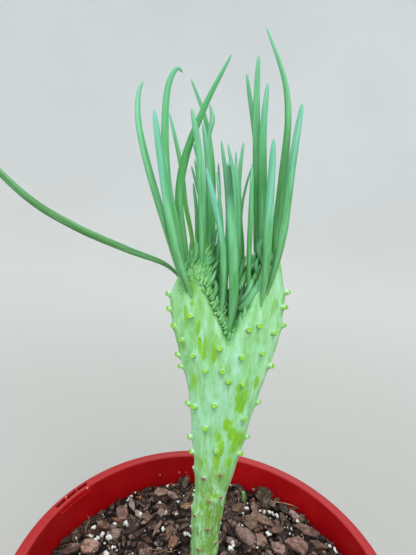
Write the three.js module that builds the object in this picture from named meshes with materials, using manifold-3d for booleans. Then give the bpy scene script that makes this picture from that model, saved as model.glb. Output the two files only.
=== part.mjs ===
// A crested blue senecio, whose stem has grown flat and wide like a fish tail, in a round plastic pot.
// Millimetres, +Z up. The origin is the centre of the pot's underside, and -Y is the front.

import * as THREE from "three";
import { mergeVertices } from "three/addons/utils/BufferGeometryUtils.js";
import Module from "manifold-3d";

const wasm = await Module();
wasm.setup();

// Driving dimensions
const POT_HEIGHT = 155;
const POT_RADIUS = 100;
const LIP_WIDTH = 6.2;
const WALL = 1.8;
const WALL_TAPER_DEG = 8;
const LIP_THICKNESS = 2.4;
const SKIRT_HEIGHT = 22;
const FLOOR = 2.5;
const DRAIN_HOLES = 6;
const DRAIN_HOLE_RADIUS = 4;
const DRAIN_CIRCLE_RADIUS = 54;
const TAG_SLOT = { fromDeg: 143, toDeg: 158, cells: 3, width: 2, rib: 0.9 };
const LEDGE = { belowRim: 3, height: 1.4, proud: 0.9 };
const SOIL_BELOW_RIM = 19;
const BARK_FLAKES = 260;
const LOOSE_CHIPS = 26;
const PERLITE_GRAINS = 26;
const ROUND_SEGMENTS = 64;
const STEM_HOLE_RADIUS = 7.2;
const STEM_HOLE_X = -0.5;
const CLEARANCE = 0.3;
const NUB_LENGTH = 2.4;
const NUB_RADIUS = 1.2;
const LEAF_SIDES = 6;
const LEAF_STEPS = 10;
const TIP_CROWDING = 1.4;

// The stem's outline above the rim: height, left edge, right edge and half its depth front to back
const STEM_OUTLINE = [
  [-48, -6.5, 5.5, 6],
  [-15, -7.2, 6.2, 6.7],
  [12, -7.3, 6.2, 6.8],
  [36, -8, 6.5, 7.2],
  [52, -7.4, 7.9, 7.4],
  [68, -8.6, 11.2, 7.8],
  [84, -10.8, 14.1, 8],
  [100, -12.7, 17, 8],
  [116, -16.5, 20.9, 7.9],
  [132, -21.5, 24.5, 7.6],
  [148, -24.2, 25.6, 6.8],
  [170, -24.4, 25.8, 5.6],
];

// The crest seen from the front: place across the fan, -1 at its left edge and 1 at its right,
// and height above the rim
const CREST_LINE = [
  [-1, 147],
  [-0.94, 153],
  [-0.83, 160],
  [-0.72, 165.5],
  [-0.6, 167],
  [-0.45, 162.5],
  [-0.35, 155],
  [-0.25, 149],
  [-0.15, 144.5],
  [-0.06, 139],
  [0.02, 134.5],
  [0.1, 138],
  [0.2, 143.5],
  [0.33, 150],
  [0.42, 159],
  [0.52, 169],
  [0.68, 169.5],
  [0.83, 167],
  [0.94, 157],
  [1, 149],
];
const CREST_ROUNDING = 10;
const RIGHT_LOBE_FROM = 0.42;
const FAN_STARTS = 80;

// Leaf scars on the front of the fan and stem: across from the pot's axis, and height above the rim
const FRONT_NUBS = [
  [24.5, 154], [24, 148], [-24, 149], [-24, 143], [-14, 143], [14, 141], [26, 139], [10, 139], [21, 137],
  [-21, 136], [-1.5, 130], [-17, 131], [16.5, 128], [8, 127], [-12, 125], [-19.5, 122], [21, 121],
  [0.5, 120],
  [-6.5, 119], [-17.3, 117], [3.5, 115], [9.5, 114], [-1.5, 103], [17.5, 102], [-10, 100], [-13.3, 99],
  [11.5, 96], [-4.5, 91], [14.4, 84], [-11, 82], [1, 80], [11.5, 77], [-9, 75], [3.5, 67], [-8.5, 65],
  [-3.5, 64], [4.5, 54], [-0.5, 52], [-7.8, 42], [-6, 41], [6, 39], [0, 36], [4, 26], [-3.5, 23],
];

// Long leaves: the greatest width, and a spine of points from the leaf's foot to its tip,
// each one across from the axis, its depth from front to back, and its height above the rim
const LEAVES = {
  leaf_left_1: {
    width: 3.1,
    spine: [
      [-18.5, 2, 155], [-26, 1, 162], [-42.5, -3, 168.5], [-62, -8, 177], [-79, -11, 187],
      [-104.5, -12, 210.5],
    ],
  },
  leaf_left_2: {
    width: 3,
    spine: [
      [-16.4, -5.2, 151], [-20.5, -7, 162], [-25.5, -6, 176], [-36, -3, 205], [-40, -1, 220.5],
      [-40.2, 0.8, 230.8], [-38.6, 1, 234.6],
    ],
  },
  leaf_left_3: {
    width: 3.3,
    spine: [[-13.9, -6.2, 149.5], [-18.5, -9.6, 162], [-23, -12, 177], [-28.5, -13, 203], [-32.5, -11, 223]],
  },
  leaf_left_4: {
    width: 3.2,
    spine: [
      [-17.5, -0.5, 157], [-21.5, -3, 175], [-26.8, -4, 195], [-29, -3.8, 216], [-28.4, -1.5, 234],
      [-25.5, -0.5, 239.3], [-23.4, 0, 237.8],
    ],
  },
  leaf_left_5: {
    width: 3.4,
    spine: [
      [-16, 1, 157], [-20, 0.5, 175.5], [-22.5, 0, 190], [-21, -1, 206], [-14.5, -3, 225.5],
      [-5.5, -5, 244.5],
    ],
  },
  leaf_left_6: {
    width: 2,
    spine: [[-14.5, 2, 157], [-16.5, 5, 174], [-20, 6, 187.5], [-22.5, 6, 202], [-28.5, 5, 224]],
  },
  leaf_inner_left_1: {
    width: 2.1,
    spine: [[-9.5, 2.5, 147], [-8.5, 7, 175.5], [-9.5, 8.5, 202], [-14, 9, 222.5], [-21, 9, 238]],
  },
  leaf_inner_left_2: {
    width: 3.1,
    spine: [[-11, -2, 150], [-11.5, -6.5, 171], [-13, -8.5, 192], [-15.5, -9, 211], [-19, -9, 224.5]],
  },
  leaf_inner_left_3: {
    width: 2.6,
    spine: [[-8.5, -1, 147], [-9.5, -3, 175], [-10.5, -5, 195], [-12.5, -5, 210], [-14.5, -5, 220.5]],
  },
  leaf_inner_left_4: {
    width: 2.3,
    spine: [
      [-6.5, 1.5, 139], [-7.5, 2.5, 174], [-10.3, 2, 203], [-12.1, 2, 216], [-11.1, 2, 222.5],
      [-12.8, 3, 228.6],
    ],
  },
  leaf_inner_left_5: {
    width: 1.7,
    spine: [[-12, 3, 152], [-12, 9, 177], [-13, 10.5, 192], [-15.5, 11, 204.5], [-19, 11, 214]],
  },
  leaf_inner_left_6: {
    width: 1.7,
    spine: [[-12.5, 1, 155], [-13, 4, 175.5], [-13.5, 4.5, 188.5], [-18.5, 5, 204]],
  },
  leaf_inner_left_7: {
    width: 1.4,
    spine: [[-15, 3.5, 154], [-14, 7, 175], [-14, 7, 190], [-17.5, 7, 207]],
  },
  leaf_inner_left_8: {
    width: 1.7,
    spine: [[-13.2, -1.2, 157], [-14, -1.5, 173], [-15, -1.5, 186], [-17, -1, 197.5]],
  },
  leaf_middle_1: {
    width: 2.6,
    spine: [[-2.1, -6.2, 140], [-1.8, -9, 151.5], [-2.4, -12.5, 165], [-4.8, -15, 180], [-12, -17, 203.6]],
  },
  leaf_middle_2: {
    width: 4,
    spine: [[1.9, -4.6, 133.5], [2.7, -9.5, 149], [1.9, -12, 161], [-1, -14.5, 183], [-4, -15, 206.6]],
  },
  leaf_middle_3: {
    width: 2.2,
    spine: [[-0.5, 1.5, 126], [-1, 0, 165], [-2, -1, 185.5], [-4, -1, 199.5], [-7, -1, 214.5]],
  },
  leaf_middle_4: {
    width: 2.2,
    spine: [[3, -0.5, 129], [2, -5, 172], [1, -7, 186], [-1, -7, 199.5], [-4.5, -6, 213]],
  },
  leaf_middle_5: {
    width: 1.9,
    spine: [[3.5, 3, 130], [4, 0.5, 168], [2, -2, 186], [0, -3, 199.5], [-1, -3, 211]],
  },
  leaf_middle_6: {
    width: 2.2,
    spine: [[6, 3, 136], [5.5, 5.5, 168], [3, 4, 185.5], [1.5, 3, 199.5], [2, 3, 215]],
  },
  leaf_middle_7: {
    width: 1.7,
    spine: [[-3.5, 3, 135], [-4.5, 5.5, 169.5], [-5.5, 5.5, 186.5], [-7.5, 5, 206]],
  },
  leaf_middle_8: {
    width: 1.6,
    spine: [[-4, -1.5, 137], [-3.5, -4, 171.5], [-5, -5, 185.5], [-8, -5, 202.5]],
  },
  leaf_middle_9: {
    width: 1.3,
    spine: [[8.5, 3.5, 142], [6, 9, 171], [4, 9, 185], [5, 10, 197], [7.5, 11, 207.5]],
  },
  leaf_right_1: {
    width: 2.5,
    spine: [[13, 3.5, 156], [11, 8, 177], [10, 9, 194], [8, 9, 212], [1, 7, 241]],
  },
  leaf_right_2: {
    width: 3.1,
    spine: [[13.2, 0.3, 156], [11, 0, 176], [9, -0.5, 194.5], [5.5, -1, 228], [4.5, -1, 246]],
  },
  leaf_right_3: {
    width: 3.2,
    spine: [[15.5, -1.2, 155], [13, -4, 174.5], [11.5, -5.5, 189.5], [8.5, -6, 218.5], [8.5, -6, 235.5]],
  },
  leaf_right_4: {
    width: 3.3,
    spine: [[14.2, -6.7, 148], [14.6, -9.2, 159], [14, -11.5, 173], [12.5, -13, 201.5], [12, -12, 215.5]],
  },
  leaf_right_5: {
    width: 3.3,
    spine: [
      [18.5, 2, 156], [18.5, 3.5, 173.5], [19, 3, 201], [18.5, 2, 225], [15.5, 1, 238], [6.5, -1, 255.5],
    ],
  },
  leaf_right_6: {
    width: 3.5,
    spine: [[16.3, -5.9, 153], [18.4, -7, 166], [20, -7, 179.5], [21, -5, 208.5], [22.6, -3, 229.8]],
  },
  leaf_right_7: {
    width: 2.1,
    spine: [[10, -1.5, 143], [7.5, -6.5, 170.5], [6.5, -7.5, 188], [5.5, -7, 205.5]],
  },
};

// Share of the greatest width, along a leaf from its foot to its tip
const LEAF_TAPER = [
  [0, 0.3],
  [0.08, 0.55],
  [0.18, 0.8],
  [0.35, 1],
  [0.55, 1],
  [0.75, 0.9],
  [0.88, 0.74],
  [0.95, 0.56],
  [0.985, 0.34],
  [1, 0],
];
const LEAF_FLATNESS = 0.82;

const finishes = {
  plastic: new THREE.MeshStandardMaterial({ color: 0xc03030, roughness: 0.42, metalness: 0 }),
  mix: new THREE.MeshStandardMaterial({ color: 0x4f3a30, roughness: 0.95, metalness: 0 }),
  stem: new THREE.MeshStandardMaterial({ color: 0x9fdca4, roughness: 0.6, metalness: 0 }),
  leaf: new THREE.MeshStandardMaterial({ color: 0x66b588, roughness: 0.55, metalness: 0 }),
};

function seededDraw(seed) {
  let state = seed;
  return function draw(low, high) {
    state = (Math.imul(state, 1664525) + 1013904223) >>> 0;
    return low + ((high - low) * state) / 4294967296;
  };
}

// The value of one column of a table at a place, with straight lines between its rows
function between(table, at, column) {
  const next = table.findIndex((row) => row[0] >= at);
  if (next === 0) return table[0][column];
  if (next < 0) return table[table.length - 1][column];
  const low = table[next - 1];
  const high = table[next];
  const share = (at - low[0]) / (high[0] - low[0]);
  return low[column] + (high[column] - low[column]) * share;
}

function solidOf(geometry) {
  const bare = geometry.clone();
  bare.deleteAttribute("normal");
  bare.deleteAttribute("uv");
  const merged = mergeVertices(bare, 1e-4);
  const corners = merged.index.array;
  const kept = [];
  for (let i = 0; i < corners.length; i += 3) {
    const [a, b, c] = [corners[i], corners[i + 1], corners[i + 2]];
    if (a !== b && b !== c && c !== a) kept.push(a, b, c);
  }
  const vertProperties = new Float32Array(merged.attributes.position.array);
  return new wasm.Manifold(new wasm.Mesh({ numProp: 3, vertProperties, triVerts: new Uint32Array(kept) }));
}

function geometryOf(solid) {
  const { vertProperties, triVerts } = solid.getMesh();
  const geometry = new THREE.BufferGeometry();
  geometry.setAttribute("position", new THREE.BufferAttribute(new Float32Array(vertProperties), 3));
  geometry.setIndex(new THREE.BufferAttribute(new Uint32Array(triVerts), 1));
  geometry.computeVertexNormals();
  return geometry;
}

// Joins a list of solids by halves, so that each join stays small
function joined(solids) {
  if (solids.length === 1) return solids[0];
  const half = Math.ceil(solids.length / 2);
  return joined(solids.slice(0, half)).add(joined(solids.slice(half)));
}

function biggestPiece(solid) {
  return solid.decompose().reduce((best, piece) => (piece.volume() > best.volume() ? piece : best));
}

// Turns a profile of radius and height pairs round the Z axis
function turned(profile, segments) {
  const points = profile.map(([radius, height]) => new THREE.Vector2(radius, height));
  return standing(new THREE.LatheGeometry(points, segments));
}

// Stands a shape that three.js makes along Y upright along Z
function standing(geometry) {
  return geometry.rotateX(Math.PI / 2);
}

function moved(geometry, position, direction) {
  const turn = new THREE.Quaternion().setFromUnitVectors(new THREE.Vector3(0, 1, 0), direction);
  const matrix = new THREE.Matrix4().compose(position, turn, new THREE.Vector3(1, 1, 1));
  return geometry.applyMatrix4(matrix);
}

// Radius of the pot's inner wall at a height
function innerRadius(height) {
  const taper = Math.tan(THREE.MathUtils.degToRad(WALL_TAPER_DEG));
  return POT_RADIUS - LIP_WIDTH - (POT_HEIGHT - height) * taper;
}

function arcBar(innerR, outerR, fromDeg, toDeg, bottom, height) {
  const from = THREE.MathUtils.degToRad(fromDeg);
  const to = THREE.MathUtils.degToRad(toDeg);
  const outline = new THREE.Shape();
  outline.absarc(0, 0, outerR, from, to, false);
  outline.absarc(0, 0, innerR, to, from, true);
  const bar = new THREE.ExtrudeGeometry(outline, { depth: height, bevelEnabled: false, curveSegments: 6 });
  return bar.translate(0, 0, bottom);
}

function makePot() {
  const lipUnderside = POT_HEIGHT - LIP_THICKNESS;
  const skirtBottom = POT_HEIGHT - SKIRT_HEIGHT;
  const baseRadius = innerRadius(FLOOR) + WALL;
  const shell = turned(
    [
      [0, 0],
      [baseRadius - 2, 0],
      [baseRadius - 0.4, 1.6],
      [innerRadius(lipUnderside) + WALL, lipUnderside],
      [POT_RADIUS - WALL, lipUnderside],
      [POT_RADIUS - WALL - 0.6, skirtBottom],
      [POT_RADIUS - 0.6, skirtBottom],
      [POT_RADIUS, POT_HEIGHT - 1.2],
      [POT_RADIUS - 0.9, POT_HEIGHT],
      [POT_RADIUS - LIP_WIDTH + 0.7, POT_HEIGHT],
      [innerRadius(POT_HEIGHT - 1), POT_HEIGHT - 1],
      [innerRadius(FLOOR), FLOOR],
      [0, FLOOR],
    ],
    ROUND_SEGMENTS,
  );
  const slotSpan = (TAG_SLOT.toDeg - TAG_SLOT.fromDeg) / TAG_SLOT.cells;
  const slotMiddle = POT_RADIUS - LIP_WIDTH / 2;
  const ribDeg = THREE.MathUtils.radToDeg(TAG_SLOT.rib / slotMiddle);
  const cuts = [];
  for (let cell = 0; cell < TAG_SLOT.cells; cell++) {
    const from = TAG_SLOT.fromDeg + cell * slotSpan + ribDeg / 2;
    const to = from + slotSpan - ribDeg;
    const [low, high] = [slotMiddle - TAG_SLOT.width / 2, slotMiddle + TAG_SLOT.width / 2];
    cuts.push(solidOf(arcBar(low, high, from, to, lipUnderside - 1, LIP_THICKNESS + 2)));
  }
  for (let hole = 0; hole < DRAIN_HOLES; hole++) {
    const angle = (hole / DRAIN_HOLES) * 2 * Math.PI;
    const drain = standing(new THREE.CylinderGeometry(DRAIN_HOLE_RADIUS, DRAIN_HOLE_RADIUS, FLOOR + 2, 12));
    const [x, y] = [DRAIN_CIRCLE_RADIUS * Math.cos(angle), DRAIN_CIRCLE_RADIUS * Math.sin(angle)];
    cuts.push(solidOf(drain.translate(x, y, FLOOR / 2)));
  }
  const ledgeBottom = POT_HEIGHT - LEDGE.belowRim - LEDGE.height;
  const wallHere = innerRadius(ledgeBottom + LEDGE.height);
  const [inner, outer] = [wallHere - LEDGE.proud, wallHere + WALL / 2];
  const ledge = arcBar(inner, outer, TAG_SLOT.fromDeg, TAG_SLOT.toDeg, ledgeBottom, LEDGE.height);
  return geometryOf(joined([solidOf(shell), solidOf(ledge)]).subtract(joined(cuts)));
}

// The top of the mix: a low mound, a little deeper at the left
function soilHeight(x, y) {
  const waves = Math.sin(x * 0.11 + 1) * Math.cos(y * 0.09);
  const edge = Math.hypot(x, y) / innerRadius(POT_HEIGHT - SOIL_BELOW_RIM);
  return POT_HEIGHT - SOIL_BELOW_RIM + 0.03 * x + 0.8 * waves + 2.5 * (1 - edge * edge);
}

// Flat flakes of bark side by side, each at its own height and tilt
function barkFlakes(radius, draw) {
  const flakes = [];
  for (let i = 0; i < BARK_FLAKES; i++) {
    const [r, angle] = [Math.sqrt(draw(0, 1)) * radius, draw(0, 2 * Math.PI)];
    const [x, y] = [r * Math.cos(angle), r * Math.sin(angle)];
    flakes.push({ x, y, lift: draw(-1, 2.2), tiltX: draw(-0.3, 0.3), tiltY: draw(-0.3, 0.3) });
  }
  return flakes;
}

function flakeLift(flakes, x, y) {
  const away = (flake) => (flake.x - x) ** 2 + (flake.y - y) ** 2;
  const nearest = flakes.reduce((best, flake) => (away(flake) < away(best) ? flake : best));
  return nearest.lift + nearest.tiltX * (x - nearest.x) + nearest.tiltY * (y - nearest.y);
}

// Bark chips and perlite grains, strewn over the soil and sunk into it
function makeSoil() {
  const draw = seededDraw(11);
  const top = POT_HEIGHT - SOIL_BELOW_RIM;
  const bottom = FLOOR + CLEARANCE;
  const edgeHeight = top - 4;
  const topRadius = innerRadius(edgeHeight) - CLEARANCE;
  const rings = 13;
  const profile = [
    [0, bottom],
    [innerRadius(bottom) - CLEARANCE, bottom],
    [topRadius, edgeHeight],
  ];
  for (let ring = 1; ring <= rings; ring++) profile.push([(topRadius - 1) * (1 - ring / rings), top]);
  const body = turned(profile, ROUND_SEGMENTS);
  const flakes = barkFlakes(topRadius, draw);
  const places = body.attributes.position;
  for (let i = 0; i < places.count; i++) {
    const [x, y] = [places.getX(i), places.getY(i)];
    if (places.getZ(i) > top - 1) places.setZ(i, soilHeight(x, y) + flakeLift(flakes, x, y));
  }
  const pieces = [solidOf(body)];
  for (let i = 0; i < LOOSE_CHIPS + PERLITE_GRAINS; i++) {
    const isChip = i < LOOSE_CHIPS;
    const radius = Math.sqrt(draw(0.02, 1)) * (topRadius - 7);
    const angle = draw(0, 2 * Math.PI);
    const [x, y] = [radius * Math.cos(angle), radius * Math.sin(angle)];
    const direction = new THREE.Vector3(draw(-0.6, 0.6), draw(-0.6, 0.6), 1).normalize();
    const chipSize = draw(3.2, 6.4);
    const shape = isChip
      ? new THREE.CylinderGeometry(chipSize * 0.8, chipSize, draw(2.6, 4), 4).scale(1, 1, draw(0.45, 0.8))
      : new THREE.OctahedronGeometry(draw(1.5, 2.3));
    const place = new THREE.Vector3(x, y, soilHeight(x, y) + flakeLift(flakes, x, y) + 0.5);
    pieces.push(solidOf(moved(shape, place, direction)));
  }
  const holeBottom = POT_HEIGHT + STEM_OUTLINE[0][0] - CLEARANCE;
  const holeLength = 60;
  const hole = standing(new THREE.CylinderGeometry(STEM_HOLE_RADIUS, STEM_HOLE_RADIUS, holeLength, 20));
  hole.translate(STEM_HOLE_X, 0, holeBottom + holeLength / 2);
  return geometryOf(biggestPiece(joined(pieces).subtract(solidOf(hole))));
}

// A point on the front (side -1) or back (side 1) of the fan, across it from -1 to 1,
// at a height above the rim
function onFan(across, height, side) {
  const left = between(STEM_OUTLINE, height, 1);
  const right = between(STEM_OUTLINE, height, 2);
  const edge = Math.sqrt(Math.max(0, 1 - across * across));
  const share = Math.min(1, (between(CREST_LINE, across, 1) - height) / CREST_ROUNDING);
  const crestRound = Math.sqrt(Math.max(0, 1 - (1 - share) * (1 - share)));
  const flatness = THREE.MathUtils.clamp(1 - (height - 30) / 120, 0.75, 1);
  const depth = between(STEM_OUTLINE, height, 3) * Math.pow(edge, flatness) * crestRound;
  const curl = THREE.MathUtils.clamp((height - 95) / 60, 0, 1) * (5 * across * across - 3);
  return new THREE.Vector3(
    left + ((right - left) * (across + 1)) / 2,
    curl + side * depth,
    POT_HEIGHT + height,
  );
}

function makeFan() {
  const columns = 32;
  const stemRows = 9;
  const rows = 18;
  const sheet = new THREE.PlaneGeometry(1, 1, columns, rows);
  const places = sheet.attributes.position;
  const foot = STEM_OUTLINE[0][0];
  for (let i = 0; i < places.count; i++) {
    const turn = (places.getX(i) + 0.5) * 2 * Math.PI;
    const row = Math.round((places.getY(i) + 0.5) * rows);
    const across = -Math.cos(turn);
    const side = turn <= Math.PI ? -1 : 1;
    const inStem = (Math.max(row, 1) - 1) / (stemRows - 1);
    const inFan = Math.sin(((row - stemRows) / (rows - stemRows)) * (Math.PI / 2));
    const crest = between(CREST_LINE, across, 1);
    const stemHeight = foot + inStem * (FAN_STARTS - foot);
    const height = row <= stemRows ? stemHeight : FAN_STARTS + inFan * (crest - FAN_STARTS);
    const point = row === 0 ? onFan(0, foot, 0) : onFan(across, height, side);
    places.setXYZ(i, point.x, point.y, point.z);
  }
  return sheet;
}

function makeNub(across, height, side, draw) {
  const here = onFan(across, height, side);
  const beside = onFan(across + (across < 0 ? 0.05 : -0.05), height, side).sub(here);
  const outward = new THREE.Vector3(beside.y, -beside.x, 0).normalize();
  if (outward.y * side < 0 || (Math.abs(across) > 0.97 && outward.x * across < 0)) outward.negate();
  outward.z = draw(0.25, 0.55);
  outward.normalize();
  const sunk = 2;
  const length = NUB_LENGTH * draw(0.8, 1.1);
  const nub = new THREE.CylinderGeometry(NUB_RADIUS * 0.9, NUB_RADIUS * 1.1, length + sunk, 4);
  return moved(nub, here.addScaledVector(outward, (length - sunk) / 2), outward);
}

function nubSolids() {
  const draw = seededDraw(5);
  const solids = [];
  for (const [x, height] of FRONT_NUBS) {
    const left = between(STEM_OUTLINE, height, 1);
    const right = between(STEM_OUTLINE, height, 2);
    const across = THREE.MathUtils.clamp((2 * (x - left)) / (right - left) - 1, -0.985, 0.985);
    solids.push(solidOf(makeNub(across, height, -1, draw)));
    if (Math.abs(across) > 0.9) continue;
    const backAcross = THREE.MathUtils.clamp(-across + draw(-0.12, 0.12), -0.9, 0.9);
    solids.push(solidOf(makeNub(backAcross, height + draw(-4, 2), 1, draw)));
  }
  return solids;
}

// A leaf bent along a curve, widened by a margin on all sides where it is used to cut a socket
function leafGeometry(spine, width, sides, steps, margin = 0) {
  const curve = new THREE.CatmullRomCurve3(spine);
  const cone = new THREE.CylinderGeometry(0, 1, 1, sides, steps);
  const places = cone.attributes.position;
  const depthAxis = new THREE.Vector3(0, 1, 0);
  for (let i = 0; i < places.count; i++) {
    const along = 1 - Math.pow(0.5 - places.getY(i), TIP_CROWDING);
    const [a, b] = [places.getX(i), places.getZ(i)];
    const spread = Math.hypot(a, b);
    const halfWidth = (between(LEAF_TAPER, along, 1) * width) / 2;
    const point = curve.getPointAt(along);
    const tangent = curve.getTangentAt(along);
    const across = new THREE.Vector3().crossVectors(tangent, depthAxis).normalize();
    const thick = new THREE.Vector3().crossVectors(across, tangent).normalize();
    if (spread > 1e-6) {
      point.addScaledVector(across, (a / spread) * (halfWidth + margin));
      point.addScaledVector(thick, (b / spread) * (halfWidth * LEAF_FLATNESS + margin));
    }
    if (margin > 0 && along < 1e-6) point.addScaledVector(tangent, -margin);
    if (margin > 0 && along > 1 - 1e-6) point.addScaledVector(tangent, margin);
    places.setXYZ(i, point.x, point.y, point.z);
  }
  return cone;
}

// Short curled leaves in rows along the crest. They lean to the right up both banks of the notch,
// and to the left on top of the right lobe.
function crestLeafSolids() {
  const draw = seededDraw(23);
  const solids = [];
  for (let across = -0.8; across <= 0.8; across += 0.08) {
    for (const row of [-1, 0, 1]) {
      const place = across + draw(-0.02, 0.02);
      const height = between(CREST_LINE, place, 1) - draw(2.5, 5);
      const root = onFan(place, height, row * 0.75);
      const length = draw(4, 7) + 13 * Math.max(0, Math.abs(place) - 0.12) * draw(0.5, 1.4);
      const lean = draw(0.35, 0.7) * (place < RIGHT_LOBE_FROM ? 1 : -1);
      const out = row * draw(0.15, 0.45);
      const spine = [0, 0.5, 1].map((share) => {
        const reach = new THREE.Vector3(lean * (1.4 - share), out, 1);
        reach.multiplyScalar(length * share);
        return root.clone().add(reach);
      });
      solids.push(solidOf(leafGeometry(spine, draw(1.6, 2.3), 4, 2)));
    }
  }
  return solids;
}

const group = new THREE.Group();
function addPiece(name, geometry, material) {
  const mesh = new THREE.Mesh(geometry, material);
  mesh.name = name;
  group.add(mesh);
}

addPiece("pot", makePot(), finishes.plastic);
addPiece("potting_mix", makeSoil(), finishes.mix);

const sockets = [];
for (const [name, { width, spine }] of Object.entries(LEAVES)) {
  const middle = spine.map(([x, y, height]) => new THREE.Vector3(x, y, POT_HEIGHT + height));
  addPiece(name, leafGeometry(middle, width, LEAF_SIDES, LEAF_STEPS), finishes.leaf);
  sockets.push(solidOf(leafGeometry(middle, width, LEAF_SIDES, LEAF_STEPS, CLEARANCE)));
}
const leafyStem = joined([solidOf(makeFan()), ...nubSolids(), ...crestLeafSolids()]);
addPiece("stem", geometryOf(biggestPiece(leafyStem.subtract(joined(sockets)))), finishes.stem);

export default group;
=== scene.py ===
# A crested blue senecio, whose stem has grown flat and wide like a fish tail, in a round plastic pot.
# Metres, +Z up. The origin is the centre of the pot's underside, and -Y is the front.

import math
import random

import bmesh
import bpy
import numpy as np
from mathutils import Euler, Matrix, Vector, noise


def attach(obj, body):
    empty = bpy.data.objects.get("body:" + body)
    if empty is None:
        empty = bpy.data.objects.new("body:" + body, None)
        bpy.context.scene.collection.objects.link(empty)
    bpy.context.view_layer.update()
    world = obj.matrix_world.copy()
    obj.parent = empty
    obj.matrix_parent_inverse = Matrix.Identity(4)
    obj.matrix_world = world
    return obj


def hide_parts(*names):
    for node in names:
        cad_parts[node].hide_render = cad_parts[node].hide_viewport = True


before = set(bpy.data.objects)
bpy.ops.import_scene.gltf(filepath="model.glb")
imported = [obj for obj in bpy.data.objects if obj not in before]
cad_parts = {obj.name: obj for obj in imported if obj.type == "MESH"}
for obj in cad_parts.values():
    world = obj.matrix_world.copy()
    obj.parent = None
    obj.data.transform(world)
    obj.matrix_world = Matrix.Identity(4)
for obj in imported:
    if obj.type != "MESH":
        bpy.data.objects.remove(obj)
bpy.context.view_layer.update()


def metres(lengths):
    """A length in millimetres, or a table of them, in metres."""
    if isinstance(lengths, (int, float)):
        return lengths / 1000
    return [metres(item) for item in lengths]


# Pot
POT_HEIGHT = 0.155
POT_RADIUS = 0.1
LIP_WIDTH = 0.0062
LIP_THICKNESS = 0.0024
LIP_ROUNDING = 0.0009
SKIRT_HEIGHT = 0.022
SKIRT_DRAFT = 0.0006
WALL = 0.0018
WALL_TAPER = math.radians(8)
FLOOR = 0.0025
FOOT_ROUNDING = 0.0016
SKIRT_ROUNDING = 0.0005
FLOOR_ROUNDING = 0.002
DRAIN_HOLES = 6
DRAIN_HOLE_RADIUS = 0.004
DRAIN_CIRCLE_RADIUS = 0.054
SLOT_FROM, SLOT_TO = math.radians(143), math.radians(158)
SLOT_CELLS = 3
SLOT_WIDTH = 0.002
SLOT_RIB = 0.0009
LEDGE_BELOW_RIM = 0.003
LEDGE_HEIGHT = 0.0014
LEDGE_PROUD = 0.0009
POT_SEGMENTS = 192
ARC_STEPS = 10
UNDERSIDE_RAISED = 0.0008
FOOT_RING = 0.012
STEP_HEIGHT = 0.012
STEP_DEPTH = 0.0007
SHARP_FROM = math.radians(38)
WALL_RINGS = (0.1528, 0.15, 0.145, 0.1, 0.05)

# Potting mix
SOIL_BELOW_RIM = 0.019
SOIL_GAP = 0.0003
SOIL_TOP = POT_HEIGHT - SOIL_BELOW_RIM
SOIL_EDGE_DROP = 0.004
SOIL_RINGS = 56

# Loose chips from the lowest up: how many, their lengths and lifts in millimetres, and their tilt
CHIP_LAYERS = [(595, (6, 14), (-0.8, 0.8), 0.2), (1105, (2, 8), (0, 2.4), 0.42)]

CLEAR_OF_STEM = 0.0085
SMALL_CRUMBS = 900
PERLITE_GRAINS = 420
FIBRES = 46
LONG_ROOT = metres([(39.2, 67.2, 141.2), (48.5, 69.5, 141), (60, 67.5, 140.8), (65.2, 65.2, 140)])
SPROUT = metres([(26.7, 70.8, 137.5), (26.9, 70.5, 142.5), (26.1, 70.4, 147.2)])

# Bark colours as they look, each with its share of the chips
BARK_SHADES = [
    ((150, 122, 112), 5), ((122, 96, 84), 5), ((92, 68, 58), 5), ((62, 45, 38), 5), ((168, 142, 132), 3),
    ((138, 92, 62), 2), ((46, 35, 30), 4), ((84, 76, 60), 2),
]

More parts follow.
